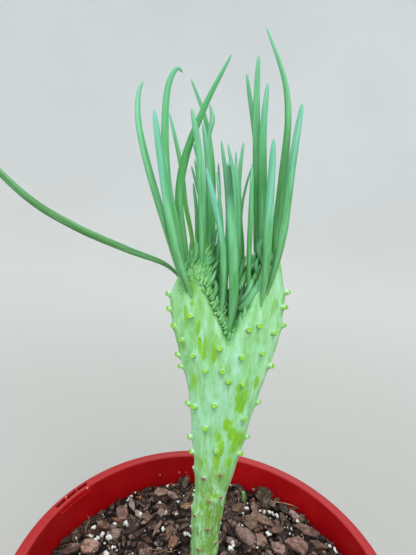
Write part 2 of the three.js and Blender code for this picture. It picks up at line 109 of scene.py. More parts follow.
# The largest flakes that show: across, front to back, length and width in millimetres, turn from the side
# and lift of the far side in degrees, and colour
LARGE_FLAKES = [
    (-67, 27, 11.5, 9.5, -10, 12, (160, 125, 110)), (-77, 25, 11, 5.5, 30, 20, (92, 64, 58)),
    (-62, 43, 10, 6, -20, 15, (112, 80, 60)), (-54, 53, 10.5, 7.5, -40, 25, (124, 96, 88)),
    (-48, 60, 11, 4.2, -62, 30, (156, 136, 132)), (-43, 53, 9, 3.8, -48, 20, (168, 140, 134)),
    (-54, 37, 6.5, 6.5, 0, 15, (132, 114, 104)), (-30, 73, 9, 5.2, 5, 35, (144, 116, 102)),
    (-22, 71, 8.8, 4.2, -25, 25, (150, 124, 112)), (-28, 54, 7.5, 6.5, 10, 20, (134, 112, 106)),
    (-21, 40, 14, 5.5, 82, 10, (116, 86, 72)), (-18, 31, 10.5, 6.5, 85, 8, (144, 102, 76)),
    (-29, 41, 12, 2.2, 70, 5, (152, 124, 104)), (-37, 50, 8.5, 6, -15, 18, (116, 90, 78)),
    (-31, 60, 9, 4.8, 20, 10, (84, 70, 62)), (-14, 83, 11, 4.5, 75, 62, (108, 92, 76)),
    (-12, 61, 9, 3.6, 8, 30, (156, 126, 96)), (-12, 44, 9.5, 4.4, 25, 10, (66, 50, 42)),
    (25, 38, 16.5, 9.8, -32, 16, (136, 110, 104)), (35, 35, 8.5, 7.2, -10, 20, (138, 110, 94)),
    (21, 60, 9.2, 8, 30, 25, (104, 82, 58)), (38, 52, 17.5, 6.2, -24, 14, (128, 100, 88)),
    (41, 69, 11, 12.5, 35, 62, (66, 56, 40)), (65, 47, 17.5, 6.8, -24, 24, (112, 82, 74)),
    (57, 35, 16.5, 9.2, -15, 18, (146, 114, 104)), (47, 45, 10.5, 6.6, 10, 15, (114, 88, 76)),
    (30, 49, 9, 8.2, -70, 22, (118, 98, 82)), (59, 58, 7.2, 4.2, -35, 30, (156, 130, 126)),
    (53, 61, 8.2, 5.2, -30, 45, (60, 54, 42)), (70, 37, 10.5, 5.2, -20, 20, (104, 80, 72)),
    (45, 31, 10.5, 7, -5, 15, (154, 124, 114)), (-44, 67, 2.2, 1.8, 0, 20, (196, 122, 18)),
]

# The perlite grains that show most: across, front to back and size, in millimetres
SEEN_GRAINS = metres([
    (-49, 45, 2.1), (-63, 35, 2.1), (-64, 31, 1.8), (-58, 35, 2.1), (-69, 41, 1.9), (-68, 35, 1.2),
    (-56, 44, 1.3), (-41, 53, 1.7), (-37, 49, 1.3), (-51, 64, 1.2), (-33, 76, 1.3), (-27, 80, 1.5),
    (-30, 64, 1.3), (-18, 65, 1), (-10, 38, 2), (-18, 54, 1.2), (-25, 54, 1.2), (-26, 40, 1.7),
    (-56, 22, 2), (-54, 27, 1.2), (29, 62, 2), (25, 57, 1), (40, 59, 1.6), (43, 59, 1.5), (45, 58, 1.2),
    (48, 56, 1.7), (23, 46, 1.4), (40, 41, 1.8), (54, 43, 1), (61, 53, 1.4), (57, 60, 1.6), (68, 48, 1.1),
    (77, 36, 1.7), (80, 33, 1.7), (18, 32, 1.7), (17, 29, 1.9),
])

# The stem's outline above the rim in millimetres: height, left edge, right edge and half its depth
STEM_OUTLINE = metres([
    (-48, -6.5, 5.5, 6), (-15, -7.2, 6.2, 6.7), (12, -7.3, 6.2, 6.8), (36, -8, 6.5, 7.2),
    (52, -7.4, 7.9, 7.4), (68, -8.6, 11.2, 7.8), (84, -10.8, 14.1, 8), (100, -12.7, 17, 8),
    (116, -16.5, 20.9, 7.9), (132, -21.5, 24.5, 7.6), (148, -24.2, 25.6, 6.8), (170, -24.4, 25.8, 5.6),
])

# The crest from the front: place across the fan, -1 at its left edge and 1 at its right, and height
# above the rim in millimetres
CREST_LINE = [(across, metres(height)) for across, height in (
    (-1, 147), (-0.94, 153), (-0.83, 160), (-0.72, 165.5), (-0.6, 167), (-0.45, 162.5), (-0.35, 155),
    (-0.25, 149), (-0.15, 144.5), (-0.06, 139), (0.02, 134.5), (0.1, 138), (0.2, 143.5), (0.33, 150),
    (0.42, 159), (0.52, 169), (0.68, 169.5), (0.83, 167), (0.94, 157), (1, 149),
)]
CREST_ROUNDING = 0.01
RIGHT_LOBE_FROM = 0.42
GRAIN_WIDTH = 0.016
STEM_COLUMNS = 192
STEM_ROWS = 150
SKIN_ROWS = 260
FAN_STARTS = 0.08

# Leaf scars on the front of the fan and stem: across and height above the rim, in millimetres
FRONT_NUBS = metres([
    (24.5, 154), (24, 148), (-24, 149), (-24, 143), (-14, 143), (14, 141), (26, 139), (10, 139), (21, 137),
    (-21, 136), (-1.5, 130), (-17, 131), (16.5, 128), (8, 127), (-12, 125), (-19.5, 122), (21, 121),
    (0.5, 120), (-6.5, 119), (-17.3, 117), (3.5, 115), (9.5, 114), (-1.5, 103), (17.5, 102), (-10, 100),
    (-13.3, 99), (11.5, 96), (-4.5, 91), (14.4, 84), (-11, 82), (1, 80), (11.5, 77), (-9, 75), (3.5, 67),
    (-8.5, 65), (-3.5, 64), (4.5, 54), (-0.5, 52), (-7.8, 42), (-6, 41), (6, 39), (0, 36), (4, 26),
    (-3.5, 23),
])
NUB_LENGTH = 0.0024
NUB_RADIUS = 0.0012
WITHERED_BELOW = 0.07

# Heights of the dry spurs on the left edge of the lower stem, in millimetres
SPURS = metres([65.3, 52.9, 49.4, 43, 31.1, 25])

# Places where the wax has been rubbed off the front: across, height above the rim, half the width and
# half the height in millimetres, and strength
RUBBED_PATCHES = [
    (-11, 138, 1, 3.4, 1.1), (-10.4, 132.8, 0.6, 2.2, 0.9), (-9.9, 130.6, 0.8, 3.6, 1),
    (-7.8, 131.2, 0.6, 3.6, 1.1), (-7.7, 126.2, 0.9, 2.5, 1.1), (-4.2, 129.5, 0.5, 5, 1.1),
    (-3.3, 126.2, 0.7, 4.2, 1.1), (-16.8, 144.5, 0.8, 5.5, 0.8), (-14.8, 148.3, 2, 0.8, 0.8),
    (-10.8, 112.5, 1.9, 4.8, 0.62), (-9.5, 108, 2.2, 3.2, 0.5), (8.7, 111.6, 1.8, 3.8, 0.85),
    (10.1, 106.3, 3.4, 4.2, 1.1), (10, 101.9, 2.6, 3, 1), (15.5, 114.5, 1.6, 4.2, 0.8),
    (4.8, 93, 1.8, 3.2, 1), (7.4, 88.1, 2.6, 3.4, 1), (10.8, 85.3, 2.8, 4.2, 1), (8.5, 80.9, 2.4, 3, 0.9),
    (1.6, 86.6, 1.2, 2.6, 0.8), (3, 80.5, 1.4, 4.4, 0.95), (1.7, 74, 1.4, 4.8, 0.95),
    (7.3, 72.9, 2.6, 3.6, 0.72), (-4.7, 72.4, 2.2, 3.6, 0.72), (4.1, 66.2, 2.2, 3, 0.7),
    (0.2, 62.6, 1.8, 2.2, 0.6), (1.5, 55.5, 3.6, 1.8, 0.85), (-2.2, 47.5, 3.4, 5.2, 0.8),
    (0.5, 44, 1.6, 5.2, 0.85), (-3, 31, 3.6, 3.6, 0.7), (2.8, 18, 4.2, 5.2, 0.75),
    (-4.5, 12, 3.4, 4.2, 0.6),
]

# Long leaves in millimetres: the greatest width, and a spine of points from foot to tip, each one across,
# front to back, and its height above the rim
LEAVES = {
    "leaf_left_1": (3.1, [(-18.5, 2, 155), (-26, 1, 162), (-42.5, -3, 168.5), (-62, -8, 177),
        (-79, -11, 187), (-104.5, -12, 210.5)]),
    "leaf_left_2": (3, [(-16.4, -5.2, 151), (-20.5, -7, 162), (-25.5, -6, 176), (-36, -3, 205),
        (-40, -1, 220.5), (-40.2, 0.8, 230.8), (-38.6, 1, 234.6)]),
    "leaf_left_3": (3.3, [(-13.9, -6.2, 149.5), (-18.5, -9.6, 162), (-23, -12, 177), (-28.5, -13, 203),
        (-32.5, -11, 223)]),
    "leaf_left_4": (3.2, [(-17.5, -0.5, 157), (-21.5, -3, 175), (-26.8, -4, 195), (-29, -3.8, 216),
        (-28.4, -1.5, 234), (-25.5, -0.5, 239.3), (-23.4, 0, 237.8)]),
    "leaf_left_5": (3.4, [(-16, 1, 157), (-20, 0.5, 175.5), (-22.5, 0, 190), (-21, -1, 206),
        (-14.5, -3, 225.5), (-5.5, -5, 244.5)]),
    "leaf_left_6": (2, [(-14.5, 2, 157), (-16.5, 5, 174), (-20, 6, 187.5), (-22.5, 6, 202),
        (-28.5, 5, 224)]),
    "leaf_inner_left_1": (2.1, [(-9.5, 2.5, 147), (-8.5, 7, 175.5), (-9.5, 8.5, 202), (-14, 9, 222.5),
        (-21, 9, 238)]),
    "leaf_inner_left_2": (3.1, [(-11, -2, 150), (-11.5, -6.5, 171), (-13, -8.5, 192), (-15.5, -9, 211),
        (-19, -9, 224.5)]),
    "leaf_inner_left_3": (2.6, [(-8.5, -1, 147), (-9.5, -3, 175), (-10.5, -5, 195), (-12.5, -5, 210),
        (-14.5, -5, 220.5)]),
    "leaf_inner_left_4": (2.3, [(-6.5, 1.5, 139), (-7.5, 2.5, 174), (-10.3, 2, 203), (-12.1, 2, 216),
        (-11.1, 2, 222.5), (-12.8, 3, 228.6)]),
    "leaf_inner_left_5": (1.7, [(-12, 3, 152), (-12, 9, 177), (-13, 10.5, 192), (-15.5, 11, 204.5),
        (-19, 11, 214)]),
    "leaf_inner_left_6": (1.7, [(-12.5, 1, 155), (-13, 4, 175.5), (-13.5, 4.5, 188.5), (-18.5, 5, 204)]),
    "leaf_inner_left_7": (1.4, [(-15, 3.5, 154), (-14, 7, 175), (-14, 7, 190), (-17.5, 7, 207)]),
    "leaf_inner_left_8": (1.7, [(-13.2, -1.2, 157), (-14, -1.5, 173), (-15, -1.5, 186), (-17, -1, 197.5)]),
    "leaf_middle_1": (2.6, [(-2.1, -6.2, 140), (-1.8, -9, 151.5), (-2.4, -12.5, 165), (-4.8, -15, 180),
        (-12, -17, 203.6)]),
    "leaf_middle_2": (4, [(1.9, -4.6, 133.5), (2.7, -9.5, 149), (1.9, -12, 161), (-1, -14.5, 183),
        (-4, -15, 206.6)]),
    "leaf_middle_3": (2.2, [(-0.5, 1.5, 126), (-1, 0, 165), (-2, -1, 185.5), (-4, -1, 199.5),
        (-7, -1, 214.5)]),
    "leaf_middle_4": (2.2, [(3, -0.5, 129), (2, -5, 172), (1, -7, 186), (-1, -7, 199.5), (-4.5, -6, 213)]),
    "leaf_middle_5": (1.9, [(3.5, 3, 130), (4, 0.5, 168), (2, -2, 186), (0, -3, 199.5), (-1, -3, 211)]),
    "leaf_middle_6": (2.2, [(6, 3, 136), (5.5, 5.5, 168), (3, 4, 185.5), (1.5, 3, 199.5), (2, 3, 215)]),
    "leaf_middle_7": (1.7, [(-3.5, 3, 135), (-4.5, 5.5, 169.5), (-5.5, 5.5, 186.5), (-7.5, 5, 206)]),
    "leaf_middle_8": (1.6, [(-4, -1.5, 137), (-3.5, -4, 171.5), (-5, -5, 185.5), (-8, -5, 202.5)]),
    "leaf_middle_9": (1.3, [(8.5, 3.5, 142), (6, 9, 171), (4, 9, 185), (5, 10, 197), (7.5, 11, 207.5)]),
    "leaf_right_1": (2.5, [(13, 3.5, 156), (11, 8, 177), (10, 9, 194), (8, 9, 212), (1, 7, 241)]),
    "leaf_right_2": (3.1, [(13.2, 0.3, 156), (11, 0, 176), (9, -0.5, 194.5), (5.5, -1, 228),
        (4.5, -1, 246)]),
    "leaf_right_3": (3.2, [(15.5, -1.2, 155), (13, -4, 174.5), (11.5, -5.5, 189.5), (8.5, -6, 218.5),
        (8.5, -6, 235.5)]),
    "leaf_right_4": (3.3, [(14.2, -6.7, 148), (14.6, -9.2, 159), (14, -11.5, 173), (12.5, -13, 201.5),
        (12, -12, 215.5)]),
    "leaf_right_5": (3.3, [(18.5, 2, 156), (18.5, 3.5, 173.5), (19, 3, 201), (18.5, 2, 225), (15.5, 1, 238),
        (6.5, -1, 255.5)]),
    "leaf_right_6": (3.5, [(16.3, -5.9, 153), (18.4, -7, 166), (20, -7, 179.5), (21, -5, 208.5),
        (22.6, -3, 229.8)]),
    "leaf_right_7": (2.1, [(10, -1.5, 143), (7.5, -6.5, 170.5), (6.5, -7.5, 188), (5.5, -7, 205.5)]),
}
# Share of the greatest width, along a leaf from its foot to its tip
LEAF_TAPER = [
    (0, 0.3), (0.08, 0.55), (0.18, 0.8), (0.35, 1), (0.55, 1), (0.75, 0.9), (0.88, 0.74), (0.95, 0.56),
    (0.985, 0.34), (1, 0),
]
LONG_TAPER = [
    (0, 0.3), (0.08, 0.55), (0.18, 0.8), (0.35, 1), (0.5, 1), (0.62, 0.86), (0.75, 0.72), (0.88, 0.5),
    (0.95, 0.36), (0.985, 0.22), (1, 0),
]
HOOKED_TAPER = [
    (0, 0.3), (0.08, 0.55), (0.18, 0.8), (0.35, 1), (0.6, 1), (0.72, 0.82), (0.8, 0.62), (0.86, 0.85),
    (0.91, 0.95), (0.96, 0.62), (1, 0),
]
OTHER_TAPERS = {"leaf_inner_left_4": HOOKED_TAPER, "leaf_left_5": LONG_TAPER, "leaf_right_5": LONG_TAPER}
WINDOWED_LEAF = "leaf_middle_2"
LEAF_FLATNESS = 0.82
TIP_CROWDING = 1.4
PATH_STEPS = 24
LEAF_SIDES = 18
LEAF_RINGS = 60

# How turquoise a leaf's tip is, how green it is all along, how yellow lower down and how dark, each 0 to 1
USUAL_TINT = (0.2, 0.15, 0, 0)
LEAF_TINTS = {
    "leaf_left_1": (0, 0.8, 0.1, 0.85), "leaf_left_2": (0.35, 0.15, 0, 0.1), "leaf_left_3": (1, 0, 0, 0),
    "leaf_left_4": (0.4, 0.1, 0, 0), "leaf_left_5": (0.1, 0.75, 0, 0), "leaf_left_6": (0.1, 0.4, 0.85, 0),
    "leaf_inner_left_1": (0, 0.9, 0.1, 0.3), "leaf_inner_left_4": (0, 0.7, 0.1, 0),
    "leaf_inner_left_5": (0.3, 0.3, 0.3, 0), "leaf_inner_left_7": (0, 0.3, 0.6, 0),
    "leaf_inner_left_8": (0, 0.2, 0.4, 0), "leaf_middle_1": (1, 0, 0, 0), "leaf_middle_2": (0.3, 0.1, 0, 0),
    "leaf_middle_6": (0.1, 0.4, 0.1, 0), "leaf_middle_9": (0, 0.4, 0.7, 0),
    "leaf_right_1": (0, 0.9, 0.25, 0), "leaf_right_2": (0.25, 0.7, 0, 0), "leaf_right_3": (0.55, 0.2, 0, 0),
    "leaf_right_4": (1, 0, 0, 0), "leaf_right_5": (0, 0.7, 0.05, 0.08), "leaf_right_6": (0.9, 0, 0, 0.2),
    "leaf_right_7": (0, 0.6, 0.1, 0),
}

# Rows of young leaves along the crest, each with its number of steps and its stretch across the fan
FRINGE_STEPS = 100
FRINGE_FROM, FRINGE_SPAN = -0.85, 1.25
FRINGE_ROWS = (-1, -1, -1, -0.6, 0.6, 1)
BANK_STEPS = 26
BANK_RANKS = 5
BANK_FROM, BANK_SPAN = -0.62, 0.58
BACK_STEPS = 34
BACK_FROM, BACK_SPAN = -0.5, 0.98
COMB_TEETH = 11
COMB_FOOT, COMB_RISE = 0.1355, 0.0132

# Short leaves that show in the notch, as for the long leaves
NOTCH_LEAVES = metres([
    (3.4, [(5.3, -4, 145.5), (8.8, -6.5, 150.6), (11.3, -7, 156.4), (13.9, -6, 162.1)]),
    (2.7, [(6.2, -3, 148.5), (9.1, -5, 155), (10.4, -4, 162)]),
    (2.1, [(9, -3, 154.5), (11.9, -5, 164.2), (13.5, -4, 167.9)]),
    (2.3, [(4.9, -2, 153.9), (7.5, -3, 161.7), (11.6, -2, 167.8)]),
    (2.2, [(5, 0, 156.4), (5.6, -1, 163.9), (6.9, 0, 169.2)]),
    (1.8, [(6.2, 0, 158), (8.4, 0, 166.3), (10, 1, 168.6)]),
    (2.1, [(7.7, 2, 156.5), (9.5, 2, 160.7), (12, 3, 164.8)]),
    (1.3, [(-10.1, -2, 163.7), (-7.4, -3, 166.1), (-6, -3, 168.2)]),
    (1.9, [(-8.7, -5, 154.9), (-6.9, -7, 159), (-5, -6, 163.8)]),
    (1, [(-5.8, -5, 154.4), (-4.9, -6, 156.9), (-5.9, -5, 158.7)]),
    (1.5, [(-7.7, -5, 150.4), (-5.9, -7, 153.4), (-4, -6.5, 155.8)]),
    (1.2, [(-6.8, -5, 149), (-5.2, -6.5, 150.3), (-3.6, -6.5, 150.2)]),
    (0.9, [(-1.2, -5, 150.2), (-0.1, -6, 149.2), (1.3, -6, 147.6)]),
    (1.9, [(1, 1.5, 137.4), (0.1, 2.2, 148.2), (-0.4, 2, 160.8)]),
    (1.8, [(-5.8, 1, 151.8), (-5.5, 1.5, 165), (-5.2, 1, 178)]),
    (1.7, [(6.2, 1, 143.5), (7, 1.6, 154.3), (7.9, 1.2, 163.4)]),
    (1.6, [(-2.8, 0.5, 145.8), (-5.7, 0, 156.5), (-5.6, 0.5, 166.9)]),
    (1.2, [(-1.2, -5, 144.6), (-0.5, -6, 146.3), (0.2, -6, 147)]),
])

# The photograph's eye: its place, how far it looks down, how far it leans, and its lens
EYE = Vector((-0.00842, -0.17408, 0.35667))
EYE_PITCH = math.radians(13.987)
EYE_ROLL = math.radians(4.078)
IMAGE_LONG_SIDE = 555
FOCAL_PIXELS = 420
SENSOR = 36.0


def srgb(red, green, blue):
    """A colour given as it looks on a screen, 0 to 255, as Blender's linear values."""
    def linear(value):
        share = value / 255
        return share / 12.92 if share <= 0.04045 else ((share + 0.055) / 1.055) ** 2.4
    return (linear(red), linear(green), linear(blue), 1.0)


def mixed(first, second, share):
    return tuple(a + (b - a) * share for a, b in zip(first, second))


def clamp(value, low=0.0, high=1.0):
    return max(low, min(high, value))


def eased(start, end, leave, arrive, t):
    """A place between two others, on the smooth curve that leaves and arrives with the given slopes."""
    return (start * (1 + 2 * t) * (1 - t) ** 2 + end * t * t * (3 - 2 * t)
            + leave * t * (1 - t) ** 2 - arrive * t * t * (1 - t))


def between(table, at, column):
    """One column of a table at a place, on a smooth curve through its rows."""
    if at <= table[0][0]:
        return table[0][column]
    if at >= table[-1][0]:
        return table[-1][column]
    high = next(i for i, row in enumerate(table) if row[0] >= at)
    low = high - 1

    def slope(i):
        before, after = table[max(i - 1, 0)], table[min(i + 1, len(table) - 1)]
        return (after[column] - before[column]) / (after[0] - before[0])

    step = table[high][0] - table[low][0]
    return eased(table[low][column], table[high][column], slope(low) * step, slope(high) * step,
                 (at - table[low][0]) / step)


class Draws(random.Random):
    """Seeded draws, called with the lowest and highest value."""

    def __call__(self, low, high):
        return self.uniform(low, high)


class SeededDraw:
    """The same draws as the source's, so that scars and crest leaves stand where its own do."""

    def __init__(self, seed):
        self.state = seed

    def __call__(self, low, high):
        self.state = (self.state * 1664525 + 1013904223) % 2**32
        return low + (high - low) * self.state / 2**32


def smooth_path(points):
    """A function from a share of the length to a point and direction on a smooth curve through the points."""
    ends = [points[0] * 2 - points[1], *points, points[-1] * 2 - points[-2]]
    fine = []
    for i in range(len(points) - 1):
        p0, p1, p2, p3 = ends[i:i + 4]
        d0, d1, d2 = (math.sqrt((b - a).length) for a, b in ((p0, p1), (p1, p2), (p2, p3)))
        out = ((p1 - p0) / d0 - (p2 - p0) / (d0 + d1) + (p2 - p1) / d1) * d1
        into = ((p2 - p1) / d1 - (p3 - p1) / (d1 + d2) + (p3 - p2) / d2) * d1
        fine += [eased(p1, p2, out, into, step / PATH_STEPS) for step in range(PATH_STEPS)]
    fine.append(points[-1])
    lengths = [0.0]
    for a, b in zip(fine, fine[1:]):
        lengths.append(lengths[-1] + (b - a).length)

    def place(share):
        target = clamp(share) * lengths[-1]
        after = next((i for i in range(1, len(fine)) if lengths[i] >= target), len(fine) - 1)
        step = max(lengths[after] - lengths[after - 1], 1e-9)
        point = fine[after - 1].lerp(fine[after], (target - lengths[after - 1]) / step)
        low, high = max(after - 2, 0), min(after + 1, len(fine) - 1)
        return point, (fine[high] - fine[low]).normalized()

    place.length = lengths[-1]
    return place


# Finishes

class Nodes:
    """A tree of shader nodes. Its colours are given as they look on a screen, 0 to 255."""

    def __init__(self, tree):
        self.tree = tree

    def feed(self, socket, value):
        """Links a socket to another node's output, or sets the socket's own value."""
        if isinstance(value, bpy.types.NodeSocket):
            self.tree.links.new(value, socket)
        else:
            socket.default_value = value

    def add(self, kind, output, feeds, **settings):
        """Adds a node with its settings, feeds its inputs and returns one of its outputs."""
        node = self.tree.nodes.new("ShaderNode" + kind)
        for setting, value in settings.items():
            setattr(node, setting, value)
        for socket, value in feeds.items():
            self.feed(node.inputs[socket], value)
        return node.outputs[output]

    def where(self):
        """The object's own coordinates."""
        return self.add("TexCoord", "Object", {})

    def height(self):
        return self.add("SeparateXYZ", "Z", {0: self.where()})

    def surface(self, attribute, output="Fac"):
        """An attribute of the surface, as a value, a colour or a vector."""
        return self.add("Attribute", output, {}, attribute_name=attribute)

    def noise(self, where, stretch, detail=3.0, roughness=0.55, offset=(0, 0, 0)):
        """Soft noise, with its number of features a metre along each axis."""
        mapped = self.add("Mapping", 0, {"Vector": where, "Scale": stretch, "Location": offset})
        feeds = {"Vector": mapped, "Scale": 1.0, "Detail": detail, "Roughness": roughness}
        return self.add("TexNoise", "Fac", feeds)

    def spots(self, scale):
        """Distance to the nearest of many scattered points."""
        return self.add("TexVoronoi", "Distance", {"Vector": self.where(), "Scale": scale})

    def ranged(self, value, low, high, to_low=0.0, to_high=1.0):
        """A value brought smoothly from one range to another, and held inside it."""
        feeds = {"Value": value, "From Min": low, "From Max": high, "To Min": to_low, "To Max": to_high}
        return self.add("MapRange", 0, feeds, interpolation_type="SMOOTHSTEP")

    def math(self, operation, first, second):
        return self.add("Math", 0, {0: first, 1: second}, operation=operation)

    def times(self, first, second):
        return self.math("MULTIPLY", first, second)

    def plus(self, first, second):
        return self.math("ADD", first, second)

    def mix(self, share, first, second, blend="MIX"):
        colours = [srgb(*colour) if isinstance(colour, tuple) else colour for colour in (first, second)]
        feeds = {0: share, 6: colours[0], 7: colours[1]}
        return self.add("Mix", 2, feeds, data_type="RGBA", blend_type=blend)


class Finish(Nodes):
    """A material and its Principled shader."""

    def __init__(self, name):
        self.material = bpy.data.materials.new(name)
        self.material.use_nodes = True
        super().__init__(self.material.node_tree)
        self.tree.nodes.clear()
        output = self.tree.nodes.new("ShaderNodeOutputMaterial")
        self.shader = self.tree.nodes.new("ShaderNodeBsdfPrincipled")
        self.tree.links.new(self.shader.outputs[0], output.inputs[0])

    def finished(self, colour, roughness, specular=0.5, relief=None, coat=0.0):
        """Feeds the shader. The relief is a height, its strength and its depth in metres."""
        feeds = {"Base Color": colour, "Roughness": roughness, "Specular IOR Level": specular,
                 "Coat Weight": coat}
        if relief:
            feeds["Normal"] = self.add("Bump", 0, dict(zip(("Height", "Strength", "Distance"), relief)))
        for socket, value in feeds.items():
            self.feed(self.shader.inputs[socket], value)
        return self.material


def wax_streaks_group():
    """Streaks of pale wax that run along a stem or leaf, as a mask and a height."""
    group = bpy.data.node_groups.new("wax_streaks", "ShaderNodeTree")
    sockets = (("Along", "INPUT", "Vector"), ("Amount", "INPUT", "Float"),
               ("Wax", "OUTPUT", "Float"), ("Height", "OUTPUT", "Float"))
    for name, direction, kind in sockets:
        group.interface.new_socket(name, in_out=direction, socket_type="NodeSocket" + kind)
    inputs = group.nodes.new("NodeGroupInput")
    outputs = group.nodes.new("NodeGroupOutput")
    wax = Nodes(group)
    broad = wax.noise(inputs.outputs["Along"], (260, 260, 26), 3, 0.6)
    fine = wax.noise(inputs.outputs["Along"], (1100, 1100, 90), 2, 0.5, (3, 1, 7))
    both = wax.plus(wax.times(broad, 0.65), wax.times(fine, 0.35))
    shifted = wax.plus(both, wax.math("SUBTRACT", inputs.outputs["Amount"], 0.5))
    wax.feed(outputs.inputs["Wax"], wax.ranged(shifted, 0.38, 0.62))
    wax.feed(outputs.inputs["Height"], both)
    return group


WAX_STREAKS = wax_streaks_group()


def wax_streaks(finish, along, amount):
    """The streaks in one finish: their mask and their height."""
    node = finish.tree.nodes.new("ShaderNodeGroup")
    node.node_tree = WAX_STREAKS
    finish.feed(node.inputs["Along"], along)
    finish.feed(node.inputs["Amount"], amount)
    return node.outputs["Wax"], node.outputs["Height"]


def leaf_finish():
    """Waxy blue-green leaves: the colour runs along each leaf, with streaks of paler wax."""
    leaf = Finish("waxy_leaf")
    base = leaf.surface("leaf_colour", "Color")
    wax, height = wax_streaks(leaf, leaf.surface("leaf_grain", "Vector"), 0.47)
    deeper = leaf.mix(1.0, base, (205, 225, 200), "MULTIPLY")
    paler = leaf.mix(0.16, base, (178, 232, 208))
    streaked = leaf.mix(wax, deeper, paler)
    return leaf.finished(streaked, leaf.ranged(wax, 0, 1, 0.42, 0.58), 0.42, (height, 0.25, 0.0003))


def waxed_skin(stem, wax, height):
    """The stem's green under streaks, thin places and a bluish bloom."""
    clouds = stem.noise(stem.where(), (110, 110, 60))
    green = stem.mix(stem.ranged(clouds, 0.35, 0.65), (130, 191, 110), (142, 206, 146))
    streaked = stem.mix(wax, green, (164, 219, 168))
    blotches = stem.noise(stem.where(), (380, 380, 130), offset=(3, 7, 5))
    thin = stem.mix(stem.ranged(blotches, 0.49, 0.34, 0.0, 0.75), streaked, (120, 182, 84))
    waxed = stem.mix(stem.ranged(blotches, 0.52, 0.74, 0.0, 0.7), thin, (174, 222, 196))
    bloom = stem.times(stem.surface("bloom"), stem.ranged(height, 0.36, 0.6))
    return stem.mix(stem.times(bloom, 0.45), waxed, (150, 204, 186))


def aged_skin(stem, grain, skin):
    """Olive clouds and a pale crust on the lower stem."""
    low_down = stem.ranged(stem.height(), POT_HEIGHT + 0.085, POT_HEIGHT + 0.045)
    clouds = stem.noise(stem.where(), (150, 150, 85), 3, 0.6, (2, 5, 1))
    olive = stem.times(low_down, stem.ranged(clouds, 0.4, 0.52, 0.0, 0.9))
    older = stem.mix(olive, skin, (112, 158, 62))
    crust = stem.noise(grain, (330, 330, 170), 3, 0.6, (1, 6, 2))
    pale_crust = stem.times(low_down, stem.ranged(crust, 0.5, 0.68, 0.0, 0.75))
    return stem.mix(pale_crust, older, (182, 216, 196))


def stem_finish():
    """Pale waxy skin with streaks down it, rubbed to bare green in places, with brown scars low down."""
    stem = Finish("waxy_stem")
    grain = stem.surface("stem_grain", "Vector")
    wax, height = wax_streaks(stem, grain, 0.45)
    waxed = waxed_skin(stem, wax, height)
    ragged = stem.noise(grain, (720, 720, 90), 4, 0.65, (9, 2, 4))
    rub = stem.plus(stem.surface("rub"), stem.times(stem.math("SUBTRACT", ragged, 0.5), 2.4))
    rub_mask = stem.ranged(rub, 0.42, 0.72)
    bare_green = stem.mix(stem.ranged(ragged, 0.35, 0.7), (104, 172, 26), (138, 198, 58))
    aged = aged_skin(stem, grain, stem.mix(rub_mask, waxed, bare_green))
    scarred = stem.mix(stem.surface("scar"), aged, (140, 92, 62))
    # Painted shade in the notch below the crest's leaves and under each scar
    shaded = stem.mix(stem.surface("shade"), scarred, (78, 134, 40))
    return stem.finished(shaded, stem.ranged(rub_mask, 0, 1, 0.6, 0.4), 0.35, (height, 0.35, 0.0004))


def scar_finish():
    """Leaf scars: a pale waxy rim round a yellow-green cut face, with a painted highlight on the upper side
    of each scar, each vertex with its own colour.
    """
    scar = Finish("leaf_scar")
    base = scar.surface("scar_colour", "Color")
    grain = scar.noise(scar.where(), (900, 900, 900), 3, 0.6)
    darker = scar.mix(1.0, base, (214, 222, 196), "MULTIPLY")
    mottled = scar.mix(scar.ranged(grain, 0.35, 0.65), darker, base)
    return scar.finished(mottled, scar.ranged(grain, 0.3, 0.7, 0.45, 0.65), relief=(grain, 0.3, 0.0002))


def pot_finish():
    """Red moulded plastic, with a paler worn lip, faint scratches and dust."""
    pot = Finish("red_plastic")
    mottle = pot.noise(pot.where(), (70, 70, 45), 4, 0.6)
    red = pot.mix(pot.ranged(mottle, 0.3, 0.7), (150, 4, 10), (164, 8, 14))
    near_top = pot.ranged(pot.height(), POT_HEIGHT - 0.0014, POT_HEIGHT - 0.0002)
    wear_noise = pot.noise(pot.where(), (420, 420, 420), 4, 0.65)
    wear = pot.times(near_top, pot.ranged(wear_noise, 0.3, 0.7, 0.55, 0.95))
    worn = pot.mix(wear, red, (158, 22, 26))
    scratches = pot.noise(pot.where(), (30, 30, 900), 3, 0.7, (4, 4, 4))
    scratched = pot.mix(pot.ranged(scratches, 0.66, 0.76, 0.0, 0.3), worn, (188, 58, 60))
    dusty_places = pot.noise(pot.where(), (60, 60, 60), 2, 0.5, (8, 8, 8))
    dust = pot.times(pot.ranged(pot.spots(130), 0.12, 0.05), pot.ranged(dusty_places, 0.5, 0.62))
    dusty = pot.mix(pot.times(dust, 0.6), scratched, (222, 196, 190))
    roughness = pot.plus(pot.ranged(mottle, 0.3, 0.7, 0.3, 0.4), pot.times(wear, 0.15))
    grain = pot.plus(pot.times(mottle, 0.7), pot.times(wear_noise, 0.3))
    return pot.finished(dusty, roughness, 0.3, (grain, 0.12, 0.0005), coat=0.06)


def soil_finish():
    """Dark fine mix that fills the gaps between the chips."""
    mix = Finish("fine_mix")
    crumbs = mix.noise(mix.where(), (520, 520, 520), 5, 0.7)
    patches = mix.noise(mix.where(), (120, 120, 120), 3, 0.6, (5, 0, 2))
    dark = mix.mix(mix.ranged(patches, 0.35, 0.65), (10, 7, 6), (24, 17, 14))
    crumbly = mix.mix(mix.ranged(crumbs, 0.45, 0.75), dark, (50, 37, 30))
    return mix.finished(crumbly, mix.ranged(crumbs, 0.3, 0.7, 0.95, 0.8), 0.25, (crumbs, 0.9, 0.0012))


